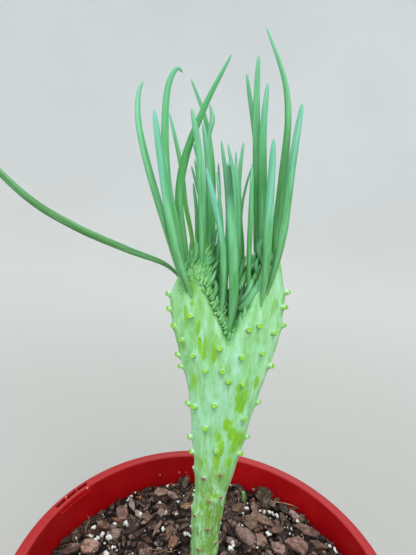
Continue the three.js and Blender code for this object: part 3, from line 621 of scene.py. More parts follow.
def bark_finish():
    """Bark with fibres along each chip and pale weathered faces."""
    bark = Finish("bark")
    base = bark.surface("chip_colour", "Color")
    grain = bark.surface("chip_grain", "Vector")
    fibres = bark.noise(grain, (150, 1500, 1500), 4, 0.65)
    blotches = bark.noise(grain, (330, 330, 330), 3, 0.6, (6, 1, 3))
    dark = bark.mix(1.0, base, (196, 186, 178), "MULTIPLY")
    fibred = bark.mix(bark.ranged(fibres, 0.36, 0.62), dark, base)
    stained = bark.mix(bark.ranged(blotches, 0.5, 0.36, 0.0, 0.6), fibred, (48, 33, 26))
    weathered = bark.mix(bark.ranged(blotches, 0.52, 0.72, 0.0, 0.35), stained, (182, 156, 142))
    return bark.finished(weathered, bark.ranged(fibres, 0.3, 0.7, 0.88, 0.68), 0.35, (fibres, 0.7, 0.0007))


def fibre_finish():
    fibre = Finish("root_fibre")
    patches = fibre.noise(fibre.where(), (200, 200, 200), 2, 0.5)
    return fibre.finished(fibre.mix(fibre.ranged(patches, 0.35, 0.65), (96, 70, 50), (168, 138, 98)), 0.8)


def perlite_finish():
    """White expanded perlite, pitted with tiny pores."""
    perlite = Finish("perlite")
    pores = perlite.spots(1900)
    stain = perlite.noise(perlite.where(), (350, 350, 350), 3, 0.6)
    white = perlite.mix(perlite.ranged(stain, 0.5, 0.75), (238, 238, 232), (196, 182, 166))
    pitted = perlite.mix(perlite.ranged(pores, 0.3, 0.08), white, (150, 140, 130))
    return perlite.finished(pitted, perlite.ranged(stain, 0.4, 0.7, 0.75, 0.9), relief=(pores, 0.8, 0.0006))


def backdrop_finish():
    """A plain pale backdrop; its floor takes more light than its wall, so its own tone is deeper."""
    backdrop = Finish("pale_backdrop")
    away = backdrop.add("VectorMath", "Value", {0: backdrop.where()}, operation="LENGTH")
    floor = backdrop.mix(backdrop.ranged(away, 0.2, 1.5), (176, 176, 172), (226, 227, 224))
    base = backdrop.mix(backdrop.ranged(away, 1.5, 2.5), floor, (236, 239, 240))
    cloud = backdrop.noise(backdrop.where(), (1.3, 1.3, 1.3), 2, 0.5)
    clouded = backdrop.mix(backdrop.ranged(cloud, 0.3, 0.7, 0.0, 0.12), base, (190, 184, 176))
    return backdrop.finished(clouded, 0.7)


# Making pieces

def place_piece(obj, nodes=()):
    """Puts a finished object on the part's one body, and hides the nodes that it stands for."""
    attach(obj, "root")
    if nodes:
        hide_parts(*nodes)


def new_object(name, data):
    obj = bpy.data.objects.new(name, data)
    bpy.context.scene.collection.objects.link(obj)
    return obj


def object_from(bm, name, material, smooth=True):
    mesh = bpy.data.meshes.new(name)
    bm.to_mesh(mesh)
    bm.free()
    mesh.materials.append(material)
    if smooth:
        mesh.shade_smooth()
    else:
        mesh.shade_flat()
    return new_object(name, mesh)


def joined(parts):
    """One mesh from many small ones: operators are quick on small ones and slow on a mesh that grows."""
    whole = bmesh.new()
    for part in parts:
        mesh = bpy.data.meshes.new("part")
        part.to_mesh(mesh)
        part.free()
        whole.from_mesh(mesh)
        bpy.data.meshes.remove(mesh)
    return whole


def rolled_grid(bm, sides, rings):
    """A sheet to be bent into a tube: each vertex, its turn round the tube and its row along it."""
    made = bmesh.ops.create_grid(bm, x_segments=sides, y_segments=rings, size=0.5,
                                 matrix=Matrix.Translation((0.5, 0.5, 0)))
    return [(vert, vert.co.x * 2 * math.pi, round(vert.co.y * rings)) for vert in made["verts"]]


def inner_radius(height):
    return POT_RADIUS - LIP_WIDTH - (POT_HEIGHT - height) * math.tan(WALL_TAPER)


def facing_out(bm):
    bmesh.ops.recalc_face_normals(bm, faces=bm.faces)
    return bm


def closed(bm, reach=1e-6):
    """Merges the vertices that lie together, and turns every face outwards."""
    bmesh.ops.remove_doubles(bm, verts=bm.verts, dist=reach)
    return facing_out(bm)


def swept(bm, parts, angle, steps, meets):
    """Turns edges or a face round the Z axis."""
    bmesh.ops.spin(bm, geom=parts, cent=(0, 0, 0), axis=(0, 0, 1), dvec=(0, 0, 0), angle=angle,
                   steps=steps, use_merge=meets, use_duplicate=False)


def spun(profile, segments):
    """A closed body turned round the Z axis from a profile of radius and height."""
    bm = bmesh.new()
    verts = [bm.verts.new((radius, 0, height)) for radius, height in profile]
    edges = [bm.edges.new(pair) for pair in zip(verts, verts[1:])]
    swept(bm, verts + edges, 2 * math.pi, segments, True)
    return closed(bm)


# Pot

def round_rings(bm, height, size, segments, beyond=POT_RADIUS / 2):
    """Rounds the edges that lie round a spun body at one height and beyond a radius."""
    def lies_there(vert):
        return abs(vert.co.z - height) < 1e-5 and math.hypot(vert.co.x, vert.co.y) > beyond
    edges = [edge for edge in bm.edges if all(lies_there(vert) for vert in edge.verts)]
    bmesh.ops.bevel(bm, geom=edges, offset=size, segments=segments, profile=0.5, affect="EDGES", material=-1)


def arc_bar(bm, inner, outer, start, end, bottom, height):
    """A bar bent round the Z axis."""
    corners = [(inner, bottom), (outer, bottom), (outer, bottom + height), (inner, bottom + height)]
    turn = Matrix.Rotation(start, 4, "Z")
    verts = [bm.verts.new(turn @ Vector((radius, 0, z))) for radius, z in corners]
    face = bm.faces.new(verts)
    swept(bm, [face], end - start, ARC_STEPS, False)


def cut(target, tool):
    """Cuts one object out of another and removes it."""
    modifier = target.modifiers.new("cut", "BOOLEAN")
    modifier.operation = "DIFFERENCE"
    modifier.solver = "EXACT"
    modifier.object = tool
    graph = bpy.context.evaluated_depsgraph_get()
    result = bpy.data.meshes.new_from_object(target.evaluated_get(graph))
    target.modifiers.clear()
    target.data = result
    bpy.data.objects.remove(tool)


def add_ledge(mesh):
    """A thin bar on the inner wall below the slot, its outer half in the wall."""
    bottom = POT_HEIGHT - LEDGE_BELOW_RIM - LEDGE_HEIGHT
    wall_here = inner_radius(bottom + LEDGE_HEIGHT)
    bm = bmesh.new()
    arc_bar(bm, wall_here - LEDGE_PROUD, wall_here + WALL / 2, SLOT_FROM, SLOT_TO, bottom, LEDGE_HEIGHT)
    facing_out(bm).from_mesh(mesh)
    bm.to_mesh(mesh)
    bm.free()


def pot_body():
    """Floor, wall, lip and skirt, turned from one profile, with their edges rounded."""
    lip_underside = POT_HEIGHT - LIP_THICKNESS
    skirt_bottom = POT_HEIGHT - SKIRT_HEIGHT
    base_radius = inner_radius(FLOOR) + WALL
    step_radius = inner_radius(STEP_HEIGHT) + WALL
    bm = spun([
        (0, UNDERSIDE_RAISED), (base_radius - FOOT_RING, UNDERSIDE_RAISED),
        (base_radius - FOOT_RING - 0.0005, 0), (base_radius - 0.0004, 0),
        (step_radius - STEP_DEPTH, STEP_HEIGHT - 0.001), (step_radius, STEP_HEIGHT),
        (inner_radius(lip_underside) + WALL, lip_underside), (POT_RADIUS - WALL, lip_underside),
        (POT_RADIUS - WALL - SKIRT_DRAFT, skirt_bottom), (POT_RADIUS - SKIRT_DRAFT, skirt_bottom),
        (POT_RADIUS, POT_HEIGHT), (POT_RADIUS - LIP_WIDTH, POT_HEIGHT),
        *[(inner_radius(height), height) for height in WALL_RINGS],
        (inner_radius(FLOOR), FLOOR), (0, FLOOR),
    ], POT_SEGMENTS)
    round_rings(bm, POT_HEIGHT, LIP_ROUNDING, 5)
    round_rings(bm, skirt_bottom, SKIRT_ROUNDING, 3)
    round_rings(bm, 0, FOOT_ROUNDING, 4, beyond=base_radius - 0.005)
    round_rings(bm, FLOOR, FLOOR_ROUNDING, 3)
    return bm


def slot_and_drains():
    """The bodies that cut the cells of the label slot and the drain holes."""
    cuts = bmesh.new()
    middle = POT_RADIUS - LIP_WIDTH / 2
    span = (SLOT_TO - SLOT_FROM) / SLOT_CELLS
    rib = SLOT_RIB / middle
    for cell in range(SLOT_CELLS):
        start = SLOT_FROM + cell * span + rib / 2
        arc_bar(cuts, middle - SLOT_WIDTH / 2, middle + SLOT_WIDTH / 2, start, start + span - rib,
                POT_HEIGHT - LIP_THICKNESS - 0.001, LIP_THICKNESS + 0.002)
    for hole in range(DRAIN_HOLES):
        angle = 2 * math.pi * hole / DRAIN_HOLES
        where = Vector((math.cos(angle), math.sin(angle), 0)) * DRAIN_CIRCLE_RADIUS
        bmesh.ops.create_cone(cuts, cap_ends=True, segments=32, radius1=DRAIN_HOLE_RADIUS,
                              radius2=DRAIN_HOLE_RADIUS, depth=4 * FLOOR, matrix=Matrix.Translation(where))
    return facing_out(cuts)


def make_pot(material):
    pot = object_from(pot_body(), "pot_body", material)
    cut(pot, object_from(slot_and_drains(), "slot_and_drains", material))
    add_ledge(pot.data)
    pot.data.set_sharp_from_angle(angle=SHARP_FROM)
    place_piece(pot, ["pot"])


# Potting mix

SOIL_RADIUS = inner_radius(SOIL_TOP)


def soil_height(x, y):
    """The top of the mix: it slopes up to the right and to the middle, with low waves."""
    waves = math.sin(x * 110 + 1) * math.cos(y * 90)
    edge = math.hypot(x, y) / SOIL_RADIUS
    return SOIL_TOP + 0.03 * x + 0.0008 * waves + 0.0025 * (1 - edge * edge)


def make_soil_bed(material):
    bottom = FLOOR + SOIL_GAP
    edge_height = SOIL_TOP - SOIL_EDGE_DROP
    edge_radius = inner_radius(edge_height) - SOIL_GAP
    profile = [(0, bottom), (inner_radius(bottom) - SOIL_GAP, bottom), (edge_radius, edge_height)]
    for ring in range(SOIL_RINGS + 1):
        profile.append(((edge_radius - 0.0006) * (1 - ring / SOIL_RINGS), SOIL_TOP))
    bm = spun(profile, POT_SEGMENTS)
    for vert in bm.verts:
        x, y, z = vert.co
        if z > SOIL_TOP - 0.001:
            lumps = 0.0012 * noise.noise(Vector((x, y, 0)) * 260)
            crumbs = 0.0006 * noise.noise(Vector((x, y, 1)) * 620)
            vert.co.z = soil_height(x, y) + lumps + crumbs - 0.001
    place_piece(object_from(bm, "soil_bed", material), ["potting_mix"])


def strewn_place(draws, reach, clear_of_stem):
    """A place on the mix, even all over it, and not inside the stem."""
    while True:
        radius = math.sqrt(draws.random()) * reach
        angle = draws(0, 2 * math.pi)
        x, y = radius * math.cos(angle), radius * math.sin(angle)
        if math.hypot(x + 0.0005, y) > clear_of_stem:
            return x, y


def resting(x, y, lift, draws, tilt):
    """A turn and a place for something that lies on the mix."""
    turn = Euler((draws.gauss(0, tilt), draws.gauss(0, tilt), draws(0, 2 * math.pi)))
    return Matrix.Translation((x, y, soil_height(x, y) + lift)) @ turn.to_matrix().to_4x4()


def kept_inside(verts):
    """Moves what pokes through the pot's wall back inside it."""
    for vert in verts:
        reach = inner_radius(vert.co.z) - SOIL_GAP
        out = math.hypot(vert.co.x, vert.co.y)
        if out > reach:
            vert.co.x *= reach / out
            vert.co.y *= reach / out


def bark_chip(draws, matrix, length, width, thickness, colour):
    """A flat flake with a broken outline, its upper face split at a slant."""
    bm = bmesh.new()
    grain_layer = bm.verts.layers.float_vector.new("chip_grain")
    colour_layer = bm.verts.layers.float_color.new("chip_colour")
    made = bmesh.ops.create_circle(bm, cap_ends=True, segments=draws.choice((4, 5, 6, 7)), radius=0.58)
    lower = made["verts"]
    for vert in lower:
        pull = draws(0.6, 1.15)
        vert.co = Vector((vert.co.x * pull, vert.co.y * pull, 0))
    face = lower[0].link_faces[0]
    raised_part = bmesh.ops.extrude_face_region(bm, geom=[face])["geom"]
    upper = [item for item in raised_part if isinstance(item, bmesh.types.BMVert)]
    slant = draws(-0.5, 0.5)
    for vert in upper:
        shrink = draws(0.8, 1.0)
        vert.co = Vector((vert.co.x * shrink, vert.co.y * shrink,
                          1 + slant * vert.co.x + draws(-0.18, 0.18)))
    top = next(item for item in raised_part if isinstance(item, bmesh.types.BMFace))
    inner = bmesh.ops.poke(bm, faces=[top])["verts"]
    inner[0].co.z += draws(-0.2, 0.25)
    offset = Vector((draws(-1, 1), draws(-1, 1), draws(-1, 1)))
    for vert in bm.verts:
        local = Vector((vert.co.x * length, vert.co.y * width, (vert.co.z - 0.5) * thickness))
        vert[grain_layer] = local + offset
        # The lower face takes painted shade, mixed far toward CHIP_SHADOW
        is_upper = clamp(vert.co.z)
        vert[colour_layer] = mixed(mixed(colour, CHIP_SHADOW, 0.72), colour, is_upper)
        vert.co = matrix @ local
    kept_inside(bm.verts)
    return facing_out(bm)


# Painted shade for the undersides of chips; bark colours are also darkened toward it at random
CHIP_SHADOW = srgb(22, 15, 12)


def drawn_shade(draws):
    colours, shares = zip(*BARK_SHADES)
    return mixed(srgb(*draws.choices(colours, shares)[0]), CHIP_SHADOW, draws(0, 0.85))


def make_bark(material):
    draws = Draws(31)
    chips = []
    reach = SOIL_RADIUS - 0.002
    for count, lengths, lifts, tilt in CHIP_LAYERS:
        for _ in range(count):
            x, y = strewn_place(draws, reach, CLEAR_OF_STEM)
            length = draws(*metres(lengths))
            width = length * draws(0.28, 0.7)
            thickness = draws(0.0009, 0.002)
            matrix = resting(x, y, draws(*metres(lifts)), draws, tilt)
            chips.append(bark_chip(draws, matrix, length, width, thickness, drawn_shade(draws)))
    for _ in range(SMALL_CRUMBS):
        x, y = strewn_place(draws, reach, 0.0078)
        length = draws(0.001, 0.0028)
        matrix = resting(x, y, draws(-0.0002, 0.0026), draws, 0.9)
        chips.append(bark_chip(draws, matrix, length, length * 0.7, length * 0.5, drawn_shade(draws)))
    for *lengths, turn, slope, shade in LARGE_FLAKES:
        x, y, length, width = metres(lengths)
        facing = Matrix.Rotation(math.radians(slope), 4, "X") @ Matrix.Rotation(math.radians(turn), 4, "Z")
        lift = 0.0028 + width * 0.4 * math.sin(math.radians(slope))
        matrix = Matrix.Translation((x, y, soil_height(x, y) + lift)) @ facing
        chips.append(bark_chip(draws, matrix, length, width, 0.0017, srgb(*shade)))
    place_piece(object_from(joined(chips), "bark_chips", material, smooth=False))


def perlite_grain(draws, matrix, size):
    """A lump of a few broken bubbles, with corners."""
    bm = bmesh.new()
    bmesh.ops.create_icosphere(bm, subdivisions=2, radius=1)
    stretch = Vector((draws(0.8, 1.3), draws(0.6, 1.0), draws(0.55, 0.9)))
    seed = Vector((draws(0, 50), draws(0, 50), 0))
    for vert in bm.verts:
        cell = noise.cell(vert.co * 1.7 + seed)
        lump = 0.8 + 0.3 * cell + 0.55 * noise.noise(vert.co * 1.9 + seed)
        vert.co = matrix @ (vert.co * lump * size * stretch)
    kept_inside(bm.verts)
    return bm


def make_perlite(material):
    draws = Draws(57)
    reach = SOIL_RADIUS - 0.003
    grains = []
    for _ in range(PERLITE_GRAINS):
        x, y = strewn_place(draws, reach, CLEAR_OF_STEM)
        size = draws.choice((draws(0.0003, 0.0006), draws(0.0004, 0.0011)))
        matrix = resting(x, y, draws(0.0004, 0.003), draws, 1.0)
        grains.append(perlite_grain(draws, matrix, size))
    for x, y, size in SEEN_GRAINS:
        for _ in range(2):
            beside_x, beside_y = x + draws.gauss(0, 0.0006), y + draws.gauss(0, 0.0006)
            matrix = resting(beside_x, beside_y, 0.0034, draws, 1.0)
            grains.append(perlite_grain(draws, matrix, size * draws(0.7, 1.0)))
    place_piece(object_from(joined(grains), "perlite_grains", material))


def strand(points, radius):
    """A thin round strand along a curve."""
    sides, rings = 5, 10
    bm = bmesh.new()
    path = smooth_path(points)
    for vert, turn, row in rolled_grid(bm, sides, rings):
        point, tangent = path(row / rings)
        across = tangent.cross(Vector((0, 0, 1))).normalized()
        thick = across.cross(tangent).normalized()
        reach = 0 if row in (0, rings) else radius
        vert.co = point + across * math.cos(turn) * reach + thick * math.sin(turn) * reach
    kept_inside(bm.verts)
    return closed(bm, 1e-7)


def make_fibres(material):
    """Fine roots and wood fibres that lie on the mix."""
    draws = Draws(77)
    reach = SOIL_RADIUS - 0.004
    strands = []
    for _ in range(FIBRES):
        x, y = strewn_place(draws, reach, 0.011)
        heading, length = draws(0, 2 * math.pi), draws(0.005, 0.02)
        points = []
        for _ in range(4):
            points.append(Vector((x, y, soil_height(x, y) + draws(0.002, 0.0042))))
            heading += draws.gauss(0, 0.45)
            x += math.cos(heading) * length / 3
            y += math.sin(heading) * length / 3
        strands.append(strand(points, draws(0.00013, 0.0003)))
    strands.append(strand([Vector(point) for point in LONG_ROOT], 0.0004))
    place_piece(object_from(joined(strands), "root_fibres", material))


# Stem and fan

def crest_height(across):
    return between(CREST_LINE, across, 1)


def stem_edges(height):
    return between(STEM_OUTLINE, height, 1), between(STEM_OUTLINE, height, 2)


def fan_point(across, height, side):
    """A point on the front (side -1) or back (side 1) of the fan, across it from -1 to 1."""
    left, right = stem_edges(height)
    edge = math.sqrt(max(0.0, 1 - across * across))
    share = min(1.0, (crest_height(across) - height) / CREST_ROUNDING)
    crest_round = math.sqrt(max(0.0, 1 - (1 - share) ** 2))
    flatness = clamp(1 - (height - 0.03) / 0.12, 0.75, 1)
    depth = between(STEM_OUTLINE, height, 3) * edge**flatness * crest_round
    curl = clamp((height - 0.095) / 0.06) * (0.005 * across * across - 0.003)
    return Vector((left + (right - left) * (across + 1) / 2, curl + side * depth, POT_HEIGHT + height))


def nub_place(across, height, side, draw):
    """Where a scar stands, which way it points and how long it is."""
    here = fan_point(across, height, side)
    beside = fan_point(across + (0.05 if across < 0 else -0.05), height, side) - here
    outward = Vector((beside.y, -beside.x, 0)).normalized()
    if outward.y * side < 0 or (abs(across) > 0.97 and outward.x * across < 0):
        outward.negate()
    outward.z = draw(0.25, 0.55)
    return here, outward.normalized(), NUB_LENGTH * draw(0.9, 1.2)


def nub_places():
    draw = SeededDraw(5)
    places = []
    for x, height in FRONT_NUBS:
        left, right = stem_edges(height)
        across = clamp(2 * (x - left) / (right - left) - 1, -0.985, 0.985)
        places.append((height, *nub_place(across, height, -1, draw)))
        if abs(across) > 0.9:
            continue
        back_across = clamp(-across + draw(-0.12, 0.12), -0.9, 0.9)
        back_height = height + draw(-0.004, 0.002)
        places.append((back_height, *nub_place(back_across, back_height, 1, draw)))
    return places


def fading(distance, reach):
    """A share that is 1 at no distance and fades on a bell curve."""
    return np.exp(-((distance / reach) ** 2))


def scar_marks(points, nubs):
    """What the scars do to the skin round them: swelling, the brown of old ones and a painted shadow below.
    """
    swell, scar, shadow = np.zeros((3, len(points)))
    for nub_height, here, *_ in nubs:
        away = points - np.array(here)
        flat = np.hypot(away[:, 0], away[:, 1])
        below = np.clip(-away[:, 2], 0, None)
        mound = fading(flat, 0.0019) * fading(away[:, 2], 0.0024)
        ridge = fading(flat, 0.0015) * np.exp(-below / 0.006) * (away[:, 2] < 0.001)
        swell += 0.0006 * mound + 0.00022 * ridge
        shadow = np.maximum(shadow, 0.5 * fading(flat, 0.0008) * fading(below - 0.0026, 0.0016))
        if nub_height < WITHERED_BELOW:
            scar = np.maximum(scar, 0.7 * fading(flat, 0.0011) * fading(away[:, 2], 0.0012))
    return swell, scar, shadow


def rubbed_share(points, height):
    """Where the wax is rubbed off: low down, in patches on the front, and in their like on the back."""
    rub = 0.47 * np.clip((0.075 - height) / 0.03, 0, 1)
    front = points[:, 1] < 0
    for *lengths, strength in RUBBED_PATCHES:
        x, patch_height, half_width, half_height = metres(lengths)
        for centre, drop, share, here in ((x, 0, 1, front), (-0.8 * x, 0.006, 0.85, ~front)):
            sideways = (points[:, 0] - centre) / half_width
            upwards = (height - patch_height + drop) / half_height
            spread = sideways**2 + upwards**2
            rub = np.maximum(rub, share * strength * np.exp(-(spread**1.3) * 0.55) * here)
    return rub


def surface_masks(points, across, nubs):
    """How far each point of the stem's skin swells, and its share of each look."""
    height = points[:, 2] - POT_HEIGHT
    swell, scar, shadow = scar_marks(points, nubs)
    below_crest = np.interp(across, *zip(*CREST_LINE)) - height
    in_notch = np.clip((0.62 - np.abs(across)) / 0.15, 0, 1)
    # Painted shade: darker where the crest's leaves crowd the notch, and the painted shadow under each scar
    shade = np.maximum(shadow, 0.8 * in_notch * fading(below_crest, 0.0032))
    bloom = np.clip(1.1 - np.abs(height - 0.1) / 0.05, 0.12, 1) * fading(points[:, 0], 0.013)
    return swell, {"bloom": bloom, "rub": rubbed_share(points, height), "scar": scar, "shade": shade}


def fluting(x, y, z):
    """How far the skin stands out in fine ridges along its grain, and in coarser lumps low down."""
    low_down = clamp((0.075 - z) / 0.03)
    ridges = ((0.00022, 300, 22), (0.00012, 800, 60), (0.0007 * low_down, 160, 130))
    return sum(size * noise.noise(Vector((x * wide, y * wide, z * tall))) for size, wide, tall in ridges)


def skin_height(row, across):
    """The height of a row of the skin: even up the stem, then closer and closer up to the crest."""
    foot = STEM_OUTLINE[0][0]
    if row <= STEM_ROWS:
        return foot + (max(row, 1) - 1) / (STEM_ROWS - 1) * (FAN_STARTS - foot)
    in_fan = math.sin((row - STEM_ROWS) / (SKIN_ROWS - STEM_ROWS) * math.pi / 2)
    return FAN_STARTS + in_fan * (crest_height(across) - FAN_STARTS)


def make_stem_skin(material, nubs):
    bm = bmesh.new()
    grain_layer = bm.verts.layers.float_vector.new("stem_grain")
    for vert, turn, row in rolled_grid(bm, STEM_COLUMNS, SKIN_ROWS):
        across = -math.cos(turn)
        side = -1 if turn <= math.pi else 1
        height = skin_height(row, across)
        vert.co = fan_point(0, height, 0) if row == 0 else fan_point(across, height, side)
        vert[grain_layer] = Vector((across * GRAIN_WIDTH, side * math.sin(turn) * -GRAIN_WIDTH, height))
    stem = object_from(closed(bm), "stem_skin", material)
    mesh = stem.data
    points = np.array([vert.co for vert in mesh.vertices], dtype=float)
    normals = np.array([vert.normal for vert in mesh.vertices])
    grain = np.array([item.vector for item in mesh.attributes["stem_grain"].data], dtype=float)
    swell, shares = surface_masks(points, grain[:, 0] / GRAIN_WIDTH, nubs)
    swell += np.array([fluting(*place) for place in grain])
    mesh.vertices.foreach_set("co", (points + normals * swell[:, None]).ravel())
    for name, values in shares.items():
        mesh.attributes.new(name, "FLOAT", "POINT").data.foreach_set("value", values.astype(np.float32))
    mesh.update()
    place_piece(stem, ["stem"])


SCAR_RIM = srgb(156, 216, 132)
# Painted highlight for the upper side of each scar's rim and sides
SCAR_TOP_HIGHLIGHT = srgb(214, 240, 226)
SCAR_FACE = srgb(136, 200, 34)
SCAR_WITHERED = srgb(128, 66, 60)
SCAR_SIDE = srgb(146, 206, 122)

# A scar's profile from the skin out to the middle of its cut face: share of its radius, share of its length
SCAR_PROFILE = [
    (1.9, -0.5), (1.5, 0.0), (1.18, 0.25), (1.06, 0.55), (1.02, 0.82), (0.96, 0.95), (0.84, 1.0),
    (0.64, 0.99), (0.4, 0.97),
]


def leaf_scar(draws, height, here, outward, length):
    """A short peg with a flared foot, a soft rim and a sunken face."""
    withered = height < WITHERED_BELOW
    if withered:
        length *= 0.45
    bm = bmesh.new()
    colour_layer = bm.verts.layers.float_color.new("scar_colour")
    turn = outward.to_track_quat("Z", "Y").to_matrix().to_4x4()
    stand = Matrix.Translation(here) @ turn
    radius = NUB_RADIUS * draws(0.85, 1.08) * (0.72 if withered else 1)
    squash = draws(0.86, 1.0)
    slant = draws(-0.25, 0.1)
    rings = [bmesh.ops.create_circle(bm, cap_ends=False, segments=14, radius=1)["verts"]]
    edges = list(bm.edges)
    for _ in SCAR_PROFILE[1:]:
        grown = bmesh.ops.extrude_edge_only(bm, edges=edges)["geom"]
        ring = [item for item in grown if isinstance(item, bmesh.types.BMVert)]
        edges = [item for item in grown if isinstance(item, bmesh.types.BMEdge)
                 and all(vert in ring for vert in item.verts)]
        rings.append(ring)
    bmesh.ops.contextual_create(bm, geom=edges)
    for (wide, along), ring in zip(SCAR_PROFILE, rings):
        for vert in ring:
            flat = Vector((vert.co.x, vert.co.y, 0)).normalized()
            # How far this point faces up: the share of painted highlight that it takes
            is_upper = clamp((turn @ flat).z * 1.3)
            out = along * length + max(along, 0) * slant * flat.y * radius
            vert.co = stand @ Vector((flat.x * wide * radius, flat.y * wide * radius * squash, out))
            if wide <= (0.64 if withered else 0.84) and along > 0.5:
                colour = SCAR_WITHERED if withered else SCAR_FACE
            elif along > 0.6:
                colour = mixed(SCAR_WITHERED if withered else SCAR_RIM, SCAR_TOP_HIGHLIGHT, is_upper)
            else:
                colour = mixed(SCAR_SIDE, SCAR_TOP_HIGHLIGHT, is_upper * 0.8)
            vert[colour_layer] = colour
    return facing_out(bm)


def make_scars(material, nubs):
    draws = Draws(8)
    scars = [leaf_scar(draws, *nub) for nub in nubs]
    place_piece(object_from(joined(scars), "leaf_scars", material), ["stem"])


# Leaves

LEAF_STOPS = [
    (0.0, srgb(126, 196, 118)), (0.07, srgb(108, 176, 100)), (0.16, srgb(94, 166, 96)),
    (0.32, srgb(94, 174, 104)), (0.55, srgb(98, 182, 118)), (0.78, srgb(106, 188, 138)),
    (0.93, srgb(116, 194, 156)), (1.0, srgb(134, 200, 174)),
]
LEAF_TURQUOISE = srgb(114, 194, 176)
LEAF_GREEN = srgb(84, 174, 78)
LEAF_YELLOW = srgb(124, 194, 62)
LEAF_SHADED = srgb(58, 122, 42)
LEAF_DARK = srgb(72, 128, 62)
LEAF_EDGE_HIGHLIGHT = srgb(150, 216, 178)
LEAF_WINDOW = srgb(44, 112, 70)
YOUNG_LEAF = srgb(154, 216, 126)
SPROUT_GREEN = srgb(104, 158, 60)
SPUR_FOOT = srgb(170, 206, 160)
SPUR_TIP = srgb(226, 234, 220)


def stop_colour(stops, at):
    """The colour at a place on a row of colours."""
    for (low, first), (high, second) in zip(stops, stops[1:]):
        if at <= high:
            return mixed(first, second, clamp((at - low) / (high - low)))
    return stops[-1][1]


def long_leaf_colour(tint, with_window=False):
    """A function from a place on a leaf, along it and round it, to its colour."""
    turquoise, green, yellow, dark = tint

    def colour_at(along, turn):
        colour = stop_colour(LEAF_STOPS, along)
        colour = mixed(colour, LEAF_GREEN, green * 0.7 * clamp(1.3 - along))
        starts = 0.9 - 0.4 * turquoise
        colour = mixed(colour, LEAF_TURQUOISE, turquoise * clamp((along - starts) / (1 - starts)) ** 0.7)
        colour = mixed(colour, LEAF_YELLOW, yellow * clamp(1.15 - along * 1.3))
        colour = mixed(colour, LEAF_DARK, dark)
        if with_window:
            faces_front = clamp((-math.sin(turn) - 0.35) / 0.3)
            reach = clamp((along - 0.74) / 0.1) * clamp((0.985 - along) / 0.015)
            colour = mixed(colour, LEAF_WINDOW, 0.95 * faces_front * reach)
        # A painted highlight along both edges of the leaf
        edge = clamp((abs(math.cos(turn)) - 0.8) / 0.2)
        return mixed(colour, LEAF_EDGE_HIGHLIGHT, 0.3 * edge * clamp(along * 4))

    return colour_at


def crest_leaf_colour(blue, young, shade):
    """The same for a short leaf of the crest, with painted shade at its foot."""
    def colour_at(along, turn):
        colour = mixed(LEAF_STOPS[4][1], LEAF_TURQUOISE, blue * along)
        colour = mixed(colour, YOUNG_LEAF, young)
        return mixed(colour, LEAF_SHADED, shade * clamp(1 - along * 1.8))

    return colour_at


def leaf_mesh(spine, width, sides, rings, colour_at, taper=LEAF_TAPER):
    """A leaf bent along a curve, closed at its foot and pointed at its tip."""
    bm = bmesh.new()
    grain_layer = bm.verts.layers.float_vector.new("leaf_grain")
    colour_layer = bm.verts.layers.float_color.new("leaf_colour")
    path = smooth_path(spine)
    stations = []
    for row in range(rings + 1):
        along = 1 - (1 - row / rings) ** TIP_CROWDING
        point, tangent = path(along)
        across = tangent.cross(Vector((0, 1, 0))).normalized()
        thick = across.cross(tangent).normalized()
        stations.append((along, point, across, thick, between(taper, along, 1) * width / 2))
    offset = spine[0] * 7
    for vert, turn, row in rolled_grid(bm, sides, rings):
        along, point, across, thick, half = stations[row]
        sunk = row == 0 or row == rings
        rib = 1 + 0.02 * math.cos(3 * turn + spine[0].x * 900)
        reach = 0 if sunk else half * rib
        vert.co = point + across * math.cos(turn) * reach + thick * math.sin(turn) * reach * LEAF_FLATNESS
        vert[grain_layer] = offset + Vector(
            (math.cos(turn) * width / 2, math.sin(turn) * width / 2, along * path.length))
        vert[colour_layer] = colour_at(along, turn)
    return closed(bm, 1e-7)


def raised(spine):
    """Spine points given above the rim, in the part's frame."""
    return [Vector((x, y, POT_HEIGHT + height)) for x, y, height in spine]


def make_long_leaf(name, width, spine, material):
    colour_at = long_leaf_colour(LEAF_TINTS.get(name, USUAL_TINT), name == WINDOWED_LEAF)
    taper = OTHER_TAPERS.get(name, LEAF_TAPER)
    bm = leaf_mesh(raised(metres(spine)), metres(width), LEAF_SIDES, LEAF_RINGS, colour_at, taper)
    place_piece(object_from(bm, name + "_skin", material), [name])


CREST_TAPER = [(0, 0.8), (0.25, 1), (0.6, 0.9), (0.85, 0.55), (1, 0)]


def make_crest_leaves(material):
    """The short leaves of the crest: the source's, those that show in the notch and the young rows."""
    draw = SeededDraw(23)
    draws = Draws(4)
    leaves = []
    across = -0.8
    while across <= 0.8:
        for row in (-1, 0, 1):
            place = across + draw(-0.02, 0.02)
            height = crest_height(place) - draw(0.0025, 0.005)
            root = fan_point(place, height, row * 0.75)
            length = draw(0.004, 0.007) + 0.013 * max(0, abs(place) - 0.12) * draw(0.5, 1.4)
            lean = draw(0.35, 0.7) * (1 if place < RIGHT_LOBE_FROM else -1)
            out = row * draw(0.15, 0.45)
            spine = [root + Vector((lean * (1.4 - share), out, 1)) * length * share
                     for share in (0, 0.5, 1)]
            colour_at = crest_leaf_colour(draws(0, 0.8), draws(0, 0.6), 0.55)
            leaves.append(leaf_mesh(spine, draw(0.0016, 0.0023), 8, 8, colour_at, CREST_TAPER))
        across += 0.08
    for width, spine in NOTCH_LEAVES:
        colour_at = crest_leaf_colour(draws(0.4, 0.9), 0.3, 0.3)
        leaves.append(leaf_mesh(raised(spine), width, 12, 16, colour_at, CREST_TAPER))
    leaves += crest_fringe(draws) + bank_leaves(draws) + back_row(draws) + notch_comb(draws)
    place_piece(object_from(joined(leaves), "crest_leaves", material), ["stem"])


def young_leaf(root, way, length, width, colour_at, curl=0.6):
    """A short leaf that starts off outwards from its root and then turns up."""
    across, out, up = way
    spine = [root, root + Vector((across, out, up * (1 - curl))) * length * 0.5,
             root + Vector((across * 0.95, out * 0.85, up)) * length]
    return leaf_mesh(spine, width, 7, 5, colour_at, CREST_TAPER)


